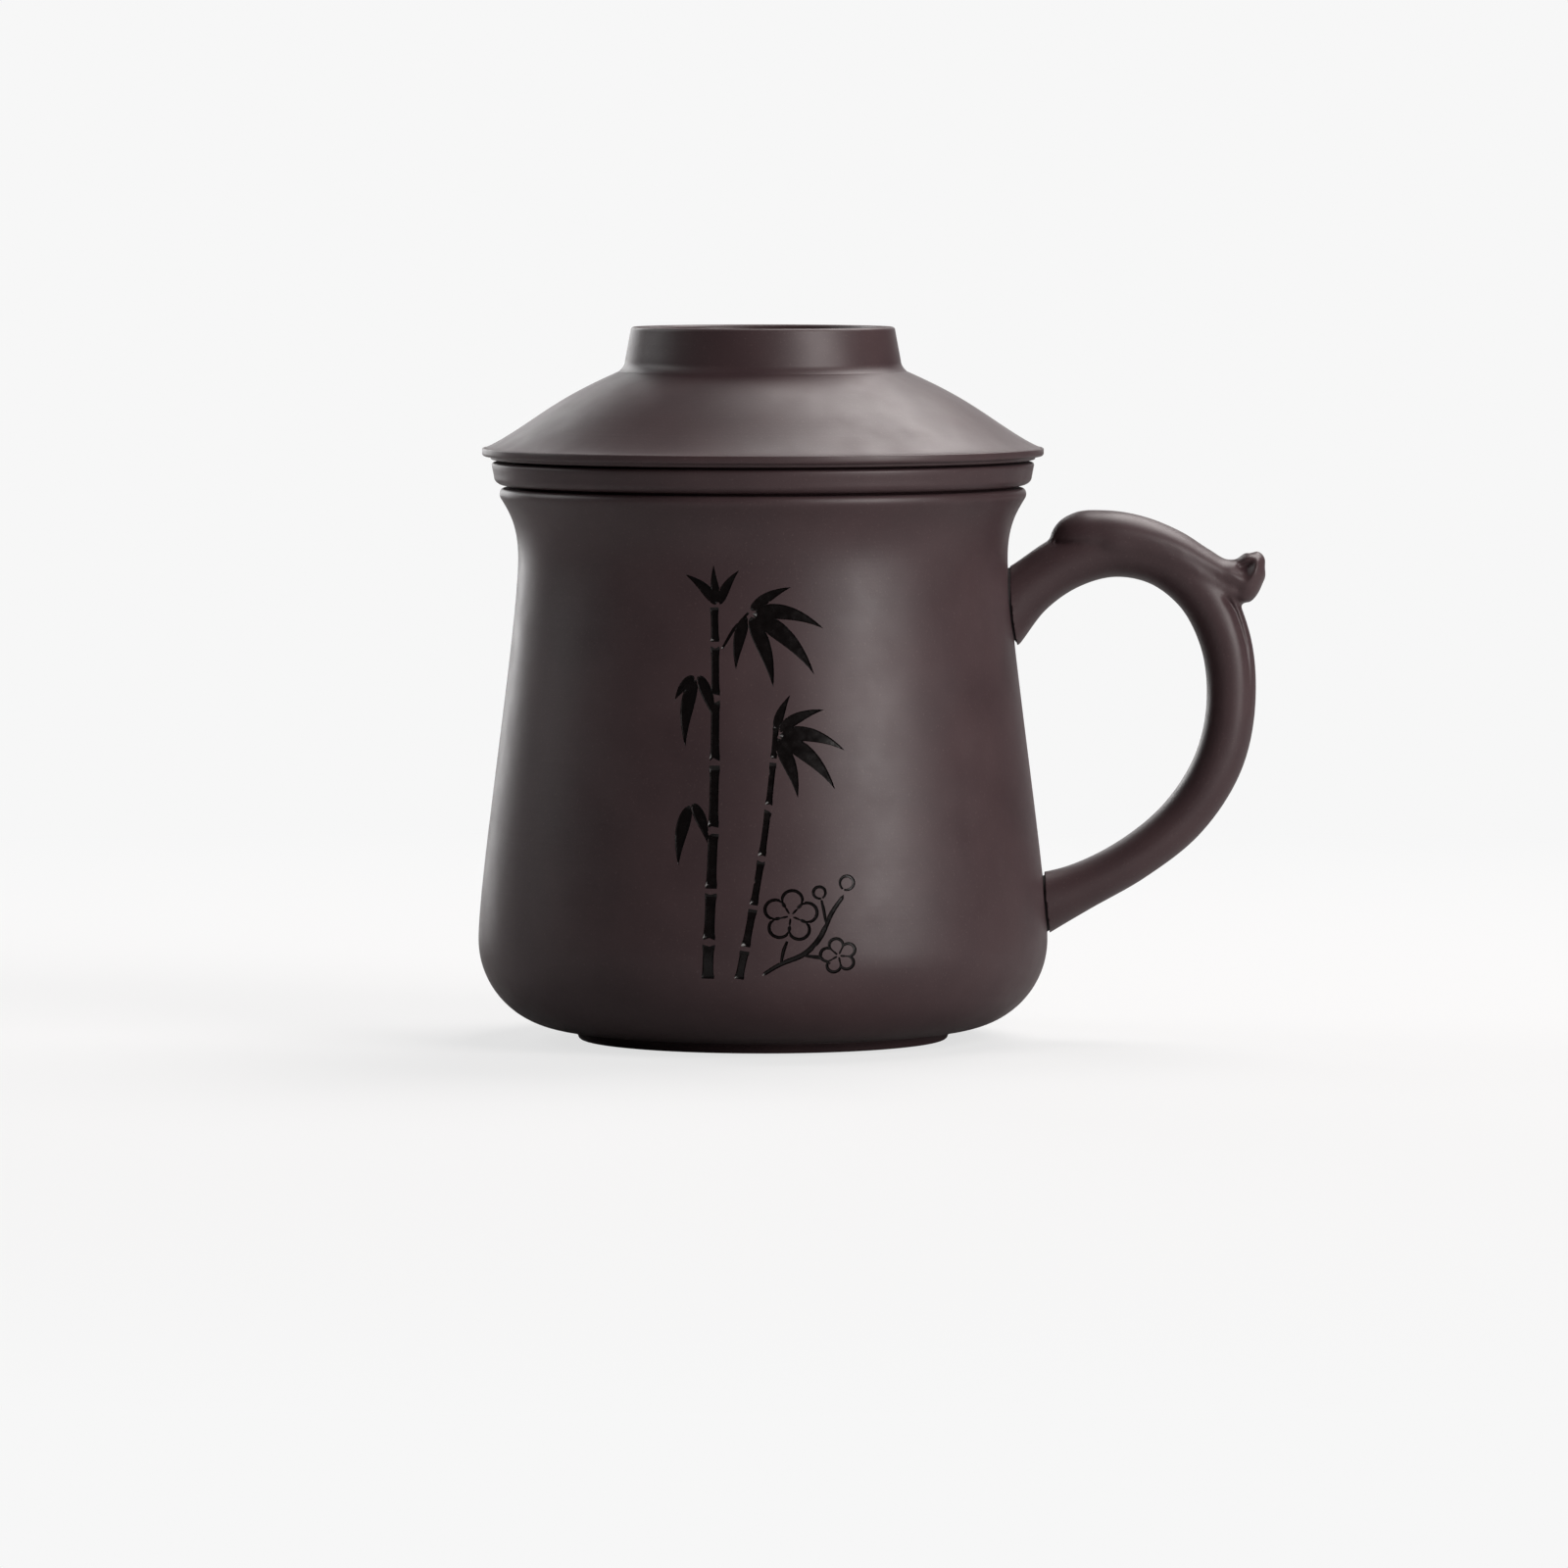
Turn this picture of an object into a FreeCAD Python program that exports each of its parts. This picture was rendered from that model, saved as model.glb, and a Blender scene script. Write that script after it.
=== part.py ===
import FreeCAD, Part
import math
import os
from types import SimpleNamespace

import Sketcher

# A lidded tea mug of dark unglazed clay, with a lift-out infuser.
# The origin is on the mug's axis at the surface that it stands on, +Z is up and the handle is at +X.
# Lengths are in millimetres.

# Driving sizes: name, value and what it measures.
MUG_SIZES = [
    ("foot_radius", 33.1, "outside of the foot ring where it stands"),
    ("foot_top_radius", 34.1, "outside of the foot ring where it meets the body"),
    ("foot_width", 4.6, "width of the foot ring's resting face"),
    ("foot_height", 2.0, "foot ring, and so the body's underside"),
    ("foot_rounding", 0.6, "rounded outer edge of the foot"),
    ("belly_radius", 50.9, "widest part of the body"),
    ("belly_height", 17.8, "level of the widest part"),
    ("belly_ease", 10.9, "pull of the belly on the wall's curve"),
    ("waist_radius", 43.7, "narrowest part of the body"),
    ("flare_height", 12.5, "from the waist up to the rim"),
    ("waist_ease", 11.7, "pull of the waist on the wall below it"),
    ("flare_ease", 5.6, "pull of the waist on the flare above it"),
    ("lip_radius", 46.8, "outside of the flare just under the lip"),
    ("lip_drop", 1.8, "underside of the lip's rounding below the rim"),
    ("lip_lean", 1.6, "how far the flare leans out below the lip"),
    ("lip_rise", 2.6, "length of that leaning stretch, upright"),
    ("lip_bulge", 0.5, "how far the rounded lip stands past the flare"),
    ("rim_height", 98.5, "flat rim that carries the infuser"),
    ("rim_outer_radius", 45.6, "outer edge of the flat rim"),
    ("rim_inner_radius", 43.9, "inner edge of the flat rim"),
    ("rim_rounding", 0.8, "rounded inner edge of the rim"),
    ("wall", 3.6, "thickness of the body's wall"),
    ("base", 4.5, "thickness of the body's base"),
]

INFUSER_SIZES = [
    ("flange_radius", 48.4, "widest part of the infuser's flange"),
    ("flange_height", 4.6, "thickness of the flange"),
    ("flange_land_radius", 45.9, "outer edge of the face that rests on the rim"),
    ("flange_rounding", 1.9, "height of the rounded lower edge of the flange"),
    ("flange_lean", 0.4, "how much the flange's side leans in going down"),
    ("edge_rounding", 0.5, "small rounding of a finished edge"),
    ("waist_gap", 0.8, "between the cup and the mug's waist"),
    ("cup_wall", 3.0, "thickness of the infuser's wall"),
    ("cup_depth", 62.5, "from the mug's rim down to the infuser's bottom"),
    ("cup_taper", 6.3, "how much smaller the cup's radius is at its bottom"),
    ("cup_rounding", 1.6, "rounded bottom edge of the cup"),
    ("sieve_thickness", 3.0, "pierced bottom disc"),
    ("hole_radius", 0.95, "one strainer hole"),
    ("hole_pitch", 4.8, "distance from one ring of holes to the next"),
]

LID_SIZES = [
    ("lid_radius", 50.1, "widest part of the lid"),
    ("lid_step_radius", 48.6, "small step under the lid's edge"),
    ("lid_step_height", 1.1, "height of that step"),
    ("lid_edge_height", 1.5, "thickness of the lid's outer edge"),
    ("lid_wall", 4.0, "thickness of the lid's shell"),
    ("lid_edge_ease", 2.6, "pull of the lid's edge on its flare"),
    ("lid_edge_slope", 0.27, "slope of the flare at the edge"),
    ("lid_turn_radius", 40.7, "where the flared edge turns into the dome"),
    ("lid_turn_height", 7.9, "level of that turn above the lid's seat"),
    ("lid_turn_slope", 0.68, "slope of the lid at that turn"),
    ("lid_flare_ease", 3.0, "pull of the turn on the flare outside it"),
    ("lid_dome_ease", 5.4, "pull of the turn on the dome inside it"),
    ("lid_top_radius", 25.4, "where the dome meets the knob ring"),
    ("lid_top_height", 16.3, "level of that meeting above the lid's seat"),
    ("lid_top_slope", 0.45, "slope of the dome at that meeting"),
    ("lid_top_ease", 6.6, "pull of that meeting on the dome"),
    ("mouth_gap", 0.6, "between the locating ring and the infuser's mouth"),
    ("ring_wall", 3.0, "thickness of the locating ring"),
    ("ring_depth", 5.5, "how far the locating ring reaches into the infuser"),
    ("knob_radius", 23.6, "outside of the knob ring at its top"),
    ("knob_base_radius", 24.7, "outside of the knob ring above its foot"),
    ("knob_height", 7.8, "knob ring above the dome"),
    ("knob_foot_height", 1.3, "height of the knob ring's flared foot"),
    ("knob_wall", 3.9, "thickness of the knob ring"),
    ("knob_rounding", 0.6, "rounded edges of the knob ring"),
]

HANDLE_SIZES = [
    ("slip", 0.45, "layer of slip that joins the handle to the body"),
    ("slip_recess", 0.35, "how far that layer stays back from the handle's edge"),
]

# Stations of the handle's bow, from inside the upper root to inside the lower one.
# Each has its centre across from the axis and up from the bow's middle, its depth in the plane of
# the bow, and its width.
BOW = [
    ("upper_root", 41.2, 13.7, 13.4, 12.6),
    ("neck", 47.2, 19.4, 9.6, 11.8),
    ("shoulder", 53.6, 23.4, 9.8, 11.6),
    ("crown", 63.2, 26.6, 10.6, 11.6),
    ("fall", 71.2, 24.5, 10.2, 11.4),
    ("turn", 78.0, 19.1, 9.8, 11.2),
    ("bow_top", 82.4, 10.4, 9.2, 11.0),
    ("bow_middle", 83.7, 0.0, 8.8, 11.0),
    ("bow_low", 81.7, -11.3, 8.8, 10.8),
    ("bow_end", 75.3, -21.8, 8.5, 10.6),
    ("tail", 66.1, -29.4, 8.1, 10.6),
    ("tail_end", 56.6, -34.5, 8.7, 10.8),
    ("lower_root", 45.6, -38.9, 12.6, 12.2),
]

# Stations of the thumb rest that lies along the bow's crown, from its blunt nose to its curled spur.
THUMB_REST = [
    ("nose_tip", 52.2, 27.9, 2.4, 4.2),
    ("nose_front", 53.3, 28.2, 5.4, 8.4),
    ("nose", 55.4, 28.5, 7.8, 11.0),
    ("rest_front", 60.4, 28.7, 8.6, 12.4),
    ("rest_middle", 67.0, 27.7, 8.6, 12.4),
    ("rest_back", 73.2, 25.9, 7.2, 11.6),
    ("rest_end", 78.2, 23.4, 6.0, 10.6),
    ("valley", 81.8, 21.6, 5.6, 9.8),
    ("spur", 84.8, 21.0, 8.2, 9.2),
    ("spur_lobe", 87.4, 22.9, 7.2, 7.6),
    ("spur_tip", 89.3, 23.7, 3.6, 4.4),
]

STATION_SIZES = ("across", "up", "depth", "width")

# Rings of strainer holes: how many holes each has.
SIEVE_RINGS = (6, 12, 18, 24, 30)

ROUND_PULL = 0.5523  # share of the way to its corner that makes a curve round
BOW_SHARE = 0.54151  # share of the way from the belly up to the rim where the middle of the bow is


class Size:
    """A length: its value now, and the expression on the sheet that keeps it so."""

    def __init__(self, value, text):
        self.value = value
        self.text = text

    def __add__(self, other):
        other = as_size(other)
        return Size(self.value + other.value, f"({self.text} + {other.text})")

    def __sub__(self, other):
        other = as_size(other)
        return Size(self.value - other.value, f"({self.text} - {other.text})")

    def __mul__(self, other):
        other = as_size(other)
        return Size(self.value * other.value, f"({self.text} * {other.text})")

    def __truediv__(self, other):
        other = as_size(other)
        return Size(self.value / other.value, f"({self.text} / {other.text})")


def as_size(number):
    """A Size, from a Size or a plain number."""
    return number if isinstance(number, Size) else Size(number, str(number))


def station_rows(stations):
    """Sheet rows of a list of handle stations."""
    rows = []
    for name, *numbers in stations:
        for what, number in zip(STATION_SIZES, numbers):
            rows.append((f"{name}_{what}", number, f"handle, {name.replace('_', ' ')}: {what}"))
    return rows


def fill_sheet(document):
    """The sheet of driving sizes, and the same sizes by name for the code below."""
    sheet = document.addObject("Spreadsheet::Sheet", "sizes")
    rows = MUG_SIZES + INFUSER_SIZES + LID_SIZES + HANDLE_SIZES
    rows += station_rows(BOW) + station_rows(THUMB_REST)
    for line, (alias, value, meaning) in enumerate(rows, start=1):
        sheet.set(f"A{line}", meaning)
        sheet.set(f"B{line}", str(value))
        sheet.setAlias(f"B{line}", alias)
    document.recompute()
    return SimpleNamespace(**{row[0]: Size(float(sheet.get(row[0])), f"sizes.{row[0]}") for row in rows})


document = FreeCAD.newDocument("lidded_tea_mug")
size = fill_sheet(document)


def origin_plane(body, role):
    """One of a body's own origin planes."""
    return next(feature for feature in body.Origin.OriginFeatures if feature.Role == role)


def new_body(name):
    """An empty body whose label is the name of its node."""
    body = document.addObject("PartDesign::Body", name)
    body.Label = name
    return body


def new_sketch(body, name, role):
    """A sketch on one of the body's origin planes."""
    sketch = body.newObject("Sketcher::SketchObject", name)
    sketch.AttachmentSupport = [(origin_plane(body, role), "")]
    sketch.MapMode = "FlatFace"
    return sketch


def point(place):
    """The place of a pair of Sizes in a sketch's plane."""
    return FreeCAD.Vector(place[0].value, place[1].value, 0)


def pin(sketch, edge, end, place):
    """Tie one point of a sketch to its place on the sheet."""
    for kind, length, across_axis in (("DistanceX", place[0], -2), ("DistanceY", place[1], -1)):
        if length.text == "0":
            sketch.addConstraint(Sketcher.Constraint("PointOnObject", edge, end, across_axis))
        else:
            row = sketch.addConstraint(Sketcher.Constraint(kind, -1, 1, edge, end, length.value))
            sketch.setExpression(f"Constraints[{row}]", length.text)


def between(start, end, share):
    """The place that lies a share of the way from one place to another."""
    return tuple(a + (b - a) * share for a, b in zip(start, end))


def same_place(one, other):
    """Whether two places are written the same way."""
    return all(a.text == b.text for a, b in zip(one, other))


def line(across, up):
    """A straight stretch of an outline, to this place."""
    return [(as_size(across), as_size(up))]


def bend(corner_across, corner_up, across, up):
    """A round stretch of an outline, to this place, that leaves and arrives along its corner."""
    corner = (as_size(corner_across), as_size(corner_up))
    return [corner, (as_size(across), as_size(up))]


def curve(first_pull, second_pull, end):
    """A free curve of an outline: two places that pull it, and its end."""
    return [tuple(as_size(number) for number in place) for place in (first_pull, second_pull, end)]


def add_stretch(sketch, start, stretch):
    """One stretch of an outline in a sketch, with every one of its points tied to the sheet."""
    end = stretch[-1]
    if len(stretch) == 1:
        edge = sketch.addGeometry(Part.LineSegment(point(start), point(end)), False)
        pin(sketch, edge, 1, start)
        return edge
    if len(stretch) == 2:
        corner = stretch[0]
        poles = [start, between(start, corner, ROUND_PULL), between(end, corner, ROUND_PULL), end]
    else:
        poles = [start] + stretch
    spline = Part.BSplineCurve()
    spline.buildFromPolesMultsKnots([point(pole) for pole in poles], [4, 4], [0, 1], False, 3)
    edge = sketch.addGeometry(spline, False)
    first_pole = sketch.GeometryCount
    sketch.exposeInternalGeometry(edge)
    for number, pole in enumerate(poles[:-1]):
        pin(sketch, first_pole + number, 3, pole)
    return edge


def draw_outline(sketch, start, stretches):
    """A closed outline: a start, and stretches that lead round to it, or to where a line closes it."""
    start = tuple(as_size(number) for number in start)
    here = start
    edges = []
    if not same_place(start, stretches[-1][-1]):
        stretches = stretches + [[start]]
    for stretch in stretches:
        edges.append(add_stretch(sketch, here, stretch))
        here = stretch[-1]
    for edge, following in zip(edges, edges[1:] + edges[:1]):
        sketch.addConstraint(Sketcher.Constraint("Coincident", edge, 2, following, 1))


def turned(name, start, stretches):
    """A piece formed on the wheel: its outline beside the Z axis, revolved about that axis."""
    body = new_body(name)
    sketch = new_sketch(body, name + "_outline", "XZ_Plane")
    draw_outline(sketch, start, stretches)
    revolution = body.newObject("PartDesign::Revolution", name + "_turning")
    revolution.Profile = sketch
    revolution.ReferenceAxis = (sketch, ["V_Axis"])
    revolution.Angle = 360
    return body


# Levels that the wall and the handle share.
waist_height = size.rim_height - size.flare_height
handle_height = size.belly_height + (size.rim_height - size.belly_height) * BOW_SHARE


def outer_wall(growth):
    """The outside of the mug from its underside up to its rim, moved outwards by a growth."""
    belly_corner = size.belly_height - size.foot_height
    return [
        line(size.belly_radius - belly_corner, size.foot_height),
        bend(size.belly_radius + growth, size.foot_height, size.belly_radius + growth, size.belly_height),
        curve((size.belly_radius + growth, size.belly_height + size.belly_ease),
              (size.waist_radius + growth, waist_height - size.waist_ease),
              (size.waist_radius + growth, waist_height)),
        curve((size.waist_radius + growth, waist_height + size.flare_ease),
              (size.lip_radius + growth - size.lip_lean, size.rim_height - size.lip_drop - size.lip_rise),
              (size.lip_radius + growth, size.rim_height - size.lip_drop)),
        curve((size.lip_radius + growth + size.lip_bulge, size.rim_height - size.lip_drop / 2),
              (size.lip_radius + growth, size.rim_height),
              (size.rim_outer_radius + growth, size.rim_height)),
    ]


def make_mug_body():
    """The body: a round belly, a long wall that narrows to the waist, and a flared lip."""
    floor = size.foot_height + size.base
    inner_belly = size.belly_radius - size.wall
    inner_waist = size.waist_radius - size.wall
    inner_corner = size.belly_height - floor
    stretches = [
        *outer_wall(0),
        line(size.rim_inner_radius + size.rim_rounding, size.rim_height),
        bend(size.rim_inner_radius, size.rim_height,
             size.rim_inner_radius, size.rim_height - size.rim_rounding),
        curve((size.rim_inner_radius - size.lip_lean, size.rim_height - size.lip_drop - size.lip_rise),
              (inner_waist, waist_height + size.flare_ease),
              (inner_waist, waist_height)),
        curve((inner_waist, waist_height - size.waist_ease),
              (inner_belly, size.belly_height + size.belly_ease),
              (inner_belly, size.belly_height)),
        bend(inner_belly, floor, inner_belly - inner_corner, floor),
        line(0, floor),
    ]
    return turned("mug_body", (0, size.foot_height), stretches)


def make_foot_ring():
    """The ring under the base that the mug stands on."""
    inner = size.foot_radius - size.foot_width
    stretches = [
        line(size.foot_radius - size.foot_rounding, 0),
        bend(size.foot_radius, 0, size.foot_radius, size.foot_rounding),
        line(size.foot_top_radius, size.foot_height),
        line(inner - size.foot_rounding, size.foot_height),
        line(inner - size.foot_rounding, size.foot_rounding),
        bend(inner - size.foot_rounding, 0, inner, 0),
    ]
    return turned("foot_ring", (inner, 0), stretches)


# Radii and levels that the infuser and the lid share.
cup_radius = size.waist_radius - size.wall - size.waist_gap
cup_bore = cup_radius - size.cup_wall
cup_bottom = size.rim_height - size.cup_depth
flange_top = size.rim_height + size.flange_height
ring_radius = cup_bore - size.mouth_gap


def make_infuser_cup():
    """The infuser's wall and the flange that hangs it on the mug's rim, and carries the lid."""
    sieve_top = cup_bottom + size.sieve_thickness
    bottom_radius = cup_radius - size.cup_taper
    stretches = [
        line(bottom_radius - size.cup_rounding, cup_bottom),
        bend(bottom_radius, cup_bottom, bottom_radius, cup_bottom + size.cup_rounding),
        line(cup_radius, size.rim_height - size.edge_rounding),
        bend(cup_radius, size.rim_height, cup_radius + size.edge_rounding, size.rim_height),
        line(size.flange_land_radius, size.rim_height),
        bend(size.flange_radius - size.flange_lean, size.rim_height,
             size.flange_radius - size.flange_lean, size.rim_height + size.flange_rounding),
        line(size.flange_radius, flange_top - size.edge_rounding),
        bend(size.flange_radius, flange_top, size.flange_radius - size.edge_rounding, flange_top),
        line(cup_bore + size.rim_rounding, flange_top),
        bend(cup_bore, flange_top, cup_bore, flange_top - size.rim_rounding),
        line(cup_bore, size.rim_height - size.ring_depth),
        line(bottom_radius - size.cup_wall, sieve_top),
    ]
    return turned("infuser_cup", (bottom_radius - size.cup_wall, cup_bottom), stretches)


def add_hole_ring(body, number, count, thickness):
    """One ring of strainer holes: a hole cut through the disc, repeated round the axis."""
    sketch = new_sketch(body, f"ring_{number}_hole", "XY_Plane")
    hole_place = size.hole_pitch * number
    circle = sketch.addGeometry(
        Part.Circle(FreeCAD.Vector(hole_place.value, 0, 0), FreeCAD.Vector(0, 0, 1), size.hole_radius.value),
        False)
    pin(sketch, circle, 3, (hole_place, as_size(0)))
    radius = sketch.addConstraint(Sketcher.Constraint("Radius", circle, size.hole_radius.value))
    sketch.setExpression(f"Constraints[{radius}]", size.hole_radius.text)
    pocket = body.newObject("PartDesign::Pocket", f"ring_{number}_cut")
    pocket.Profile = sketch
    pocket.Reversed = True
    pocket.Length = thickness.value
    pocket.setExpression("Length", thickness.text)
    if number == 0:
        return
    pattern = body.newObject("PartDesign::PolarPattern", f"ring_{number}")
    pattern.Originals = [pocket]
    pattern.Axis = (next(f for f in body.Origin.OriginFeatures if f.Role == "Z_Axis"), [""])
    pattern.Angle = 360
    pattern.Occurrences = count
    body.Tip = pattern


def make_infuser_sieve():
    """The pierced disc in the infuser's bottom."""
    radius = cup_radius - size.cup_taper - size.cup_wall
    body = turned("infuser_sieve", (0, 0), [
        line(radius, 0),
        line(radius, size.sieve_thickness),
        line(0, size.sieve_thickness),
    ])
    add_hole_ring(body, 0, 1, size.sieve_thickness)
    for number, count in enumerate(SIEVE_RINGS, start=1):
        add_hole_ring(body, number, count, size.sieve_thickness)
    body.Placement.Base.z = cup_bottom.value
    body.setExpression("Placement.Base.z", cup_bottom.text)
    return body


def make_lid_dome():
    """The lid's shell: a flared edge, an ogee up to the knob ring, and a hollow underside."""
    seat = flange_top
    edge_low = seat + size.lid_step_height
    edge_high = edge_low + size.lid_edge_height
    top = seat + size.lid_top_height
    turn = seat + size.lid_turn_height
    top_drop = size.lid_top_ease * size.lid_top_slope
    ceiling = top - size.lid_wall
    ceiling_radius = size.lid_top_radius - size.lid_wall
    ring_bore = ring_radius - size.ring_wall
    stretches = [
        line(size.lid_step_radius - size.edge_rounding, seat),
        bend(size.lid_step_radius, seat, size.lid_step_radius, seat + size.edge_rounding),
        line(size.lid_step_radius, edge_low),
        line(size.lid_radius - size.edge_rounding, edge_low),
        bend(size.lid_radius, edge_low, size.lid_radius, edge_low + size.edge_rounding),
        line(size.lid_radius, edge_high - size.edge_rounding / 2),
        bend(size.lid_radius, edge_high, size.lid_radius - size.edge_rounding, edge_high),
        curve((size.lid_radius - size.lid_edge_ease, edge_high + size.lid_edge_ease * size.lid_edge_slope),
              (size.lid_turn_radius + size.lid_flare_ease, turn - size.lid_flare_ease * size.lid_turn_slope),
              (size.lid_turn_radius, turn)),
        curve((size.lid_turn_radius - size.lid_dome_ease, turn + size.lid_dome_ease * size.lid_turn_slope),
              (size.lid_top_radius + size.lid_top_ease, top - top_drop),
              (size.lid_top_radius, top)),
        line(0, top),
        line(0, ceiling),
        line(ceiling_radius, ceiling),
        curve((ceiling_radius + size.lid_top_ease, ceiling - top_drop),
              (ring_bore, turn),
              (ring_bore, turn - size.lid_wall / 2)),
    ]
    return turned("lid_dome", (ring_bore, seat), stretches)


def make_locating_ring():
    """The ring under the lid that keeps it centred in the infuser's mouth."""
    low = flange_top - size.ring_depth
    bore = ring_radius - size.ring_wall
    stretches = [
        line(ring_radius - size.rim_rounding, low),
        bend(ring_radius, low, ring_radius, low + size.rim_rounding),
        line(ring_radius, flange_top),
        line(bore, flange_top),
        line(bore, low + size.rim_rounding),
        bend(bore, low, bore + size.rim_rounding, low),
    ]
    return turned("lid_locating_ring", (bore + size.rim_rounding, low), stretches)


def make_knob_ring():
    """The hollow ring on the lid that serves as its knob, and as a foot when the lid is turned over."""
    low = flange_top + size.lid_top_height
    top = low + size.knob_height
    outer = size.knob_radius
    inner = outer - size.knob_wall
    foot_top = low + size.knob_foot_height
    stretches = [
        line(size.lid_top_radius, low),
        bend(size.knob_base_radius, low, size.knob_base_radius, foot_top),
        line(outer, top - size.knob_rounding),
        bend(outer, top, outer - size.knob_rounding, top),
        line(inner + size.knob_rounding, top),
        bend(inner, top, inner, top - size.knob_rounding),
    ]
    return turned("lid_knob_ring", (inner, low), stretches)


def leans(places):
    """The direction of travel at each place along a path, in degrees from +X towards +Z."""
    ahead = places[1:] + places[-1:]
    behind = places[:1] + places[:-1]
    return [math.degrees(math.atan2(b[1] - a[1], b[0] - a[0])) for a, b in zip(behind, ahead)]


def oval(across, up, lean, depth, width):
    """An oval wire square to the direction of travel."""
    ring = Part.Wire(Part.Circle(FreeCAD.Vector(0, 0, 0), FreeCAD.Vector(1, 0, 0), 1).toShape())
    stretch = FreeCAD.Matrix()
    stretch.scale(1, width / 2, depth / 2)
    ring = ring.transformGeometry(stretch)
    turn = FreeCAD.Rotation(FreeCAD.Vector(0, 1, 0), -lean)
    ring.Placement = FreeCAD.Placement(FreeCAD.Vector(across, 0, up), turn).multiply(ring.Placement)
    return ring


def limb(stations, recess):
    """A limb of the handle, lofted through its stations and thinner all round by a recess."""
    rows = []
    for name, *_ in stations:
        rows.append([getattr(size, f"{name}_{what}").value for what in STATION_SIZES])
    ways = leans([row[:2] for row in rows])
    ovals = [
        oval(across, handle_height.value + up, lean, depth - 2 * recess, width - 2 * recess)
        for (across, up, depth, width), lean in zip(rows, ways)
    ]
    return Part.makeLoft(ovals, True, False)


def add_shape(name, shape):
    """A free form as an object of the document."""
    feature = document.addObject("Part::Feature", name)
    feature.Shape = shape
    return feature


def add_boolean(kind, name, base, tool):
    """A boolean of two objects of the document."""
    result = document.addObject(kind, name)
    result.Base = base
    result.Tool = tool
    result.Label = name
    return result


def wall_blank(name, growth):
    """The mug's outside as one solid lump, moved outwards by a growth."""
    return turned(name, (0, size.foot_height), [*outer_wall(growth), line(0, size.rim_height)])


def half_space(name, low, height):
    """A box round the axis between two levels, to take one root of the handle."""
    box = document.addObject("Part::Box", name)
    reach = size.bow_middle_across * 2
    for side in ("Length", "Width"):
        box.setExpression(side, reach.text)
    box.setExpression("Height", height.text)
    box.setExpression("Placement.Base.x", f"0 - {size.bow_middle_across.text}")
    box.setExpression("Placement.Base.y", f"0 - {size.bow_middle_across.text}")
    box.setExpression("Placement.Base.z", low.text)
    return box


def make_handle_and_slip():
    """The handle, fitted to the wall, and the layer of slip under each of its roots."""
    fitted = wall_blank("handle_fit", size.slip)
    body_lump = wall_blank("body_lump", 0)
    bow = add_shape("handle_bow", limb(BOW, 0))
    rest = add_shape("handle_rest", limb(THUMB_REST, 0))
    core = add_shape("handle_core", limb(BOW, size.slip_recess.value))
    whole = add_boolean("Part::Fuse", "handle_whole", bow, rest)
    handle = add_boolean("Part::Cut", "handle", whole, fitted)
    layer = add_boolean("Part::Cut", "slip_layer", fitted, body_lump)
    joints = add_boolean("Part::Common", "slip_joints", core, layer)
    upper_room = half_space("upper_room", handle_height, size.rim_height - handle_height)
    lower_room = half_space("lower_room", as_size(0), handle_height)
    upper = add_boolean("Part::Common", "upper_handle_slip", joints, upper_room)
    lower = add_boolean("Part::Common", "lower_handle_slip", joints, lower_room)
    return [handle, upper, lower]


def check_and_export(nodes):
    """Stop on any failed object or bad solid, then write one file for each piece."""
    for item in document.Objects:
        if "Invalid" in item.State or "Error" in item.State:
            raise RuntimeError(f"{item.Name} failed: {item.State}")
    for node in nodes:
        shape = node.Shape
        if shape.isNull() or not shape.isValid() or not shape.Solids:
            raise RuntimeError(f"{node.Label} is not a good solid")
        print(node.Label, "solids", len(shape.Solids), "volume", round(shape.Volume))
        shape.exportStep(os.path.join("parts", node.Label + ".step"))


os.makedirs("parts", exist_ok=True)
pieces = [
    make_mug_body(),
    make_foot_ring(),
    *make_handle_and_slip(),
    make_infuser_cup(),
    make_infuser_sieve(),
    make_lid_dome(),
    make_locating_ring(),
    make_knob_ring(),
]
document.recompute()
check_and_export(pieces)
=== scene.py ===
import math

import bmesh
import bpy
import numpy as np
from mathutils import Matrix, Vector
from mathutils.geometry import delaunay_2d_cdt


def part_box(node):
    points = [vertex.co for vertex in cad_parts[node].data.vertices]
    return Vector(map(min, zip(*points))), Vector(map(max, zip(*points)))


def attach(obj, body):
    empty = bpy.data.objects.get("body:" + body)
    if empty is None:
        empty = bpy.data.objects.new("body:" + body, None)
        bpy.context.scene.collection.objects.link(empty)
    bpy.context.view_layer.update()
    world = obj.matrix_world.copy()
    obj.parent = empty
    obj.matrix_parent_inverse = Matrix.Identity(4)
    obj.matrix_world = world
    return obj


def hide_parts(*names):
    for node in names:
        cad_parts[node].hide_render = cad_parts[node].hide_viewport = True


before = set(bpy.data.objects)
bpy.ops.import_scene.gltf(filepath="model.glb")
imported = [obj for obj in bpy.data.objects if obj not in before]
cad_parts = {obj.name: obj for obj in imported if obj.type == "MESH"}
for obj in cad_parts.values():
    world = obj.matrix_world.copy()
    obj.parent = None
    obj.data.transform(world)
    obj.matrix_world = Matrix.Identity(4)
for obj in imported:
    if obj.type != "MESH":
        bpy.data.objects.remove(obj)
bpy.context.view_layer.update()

# The looks of a lidded tea mug of dark unglazed clay, with a lift-out infuser.
# Outlines are in millimetres, as (radius, height), and turn into metres where a mesh is made.

MM = 0.001
TURNS = 240  # columns of a turned piece
ROUND_PULL = 0.5523  # share of the way to its corner that makes a curve round


def box_mm(node):
    """Outer radius, lowest and highest level of a turned CAD node, in millimetres."""
    low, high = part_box(node)
    return high.y / MM, low.z / MM, high.z / MM


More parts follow.
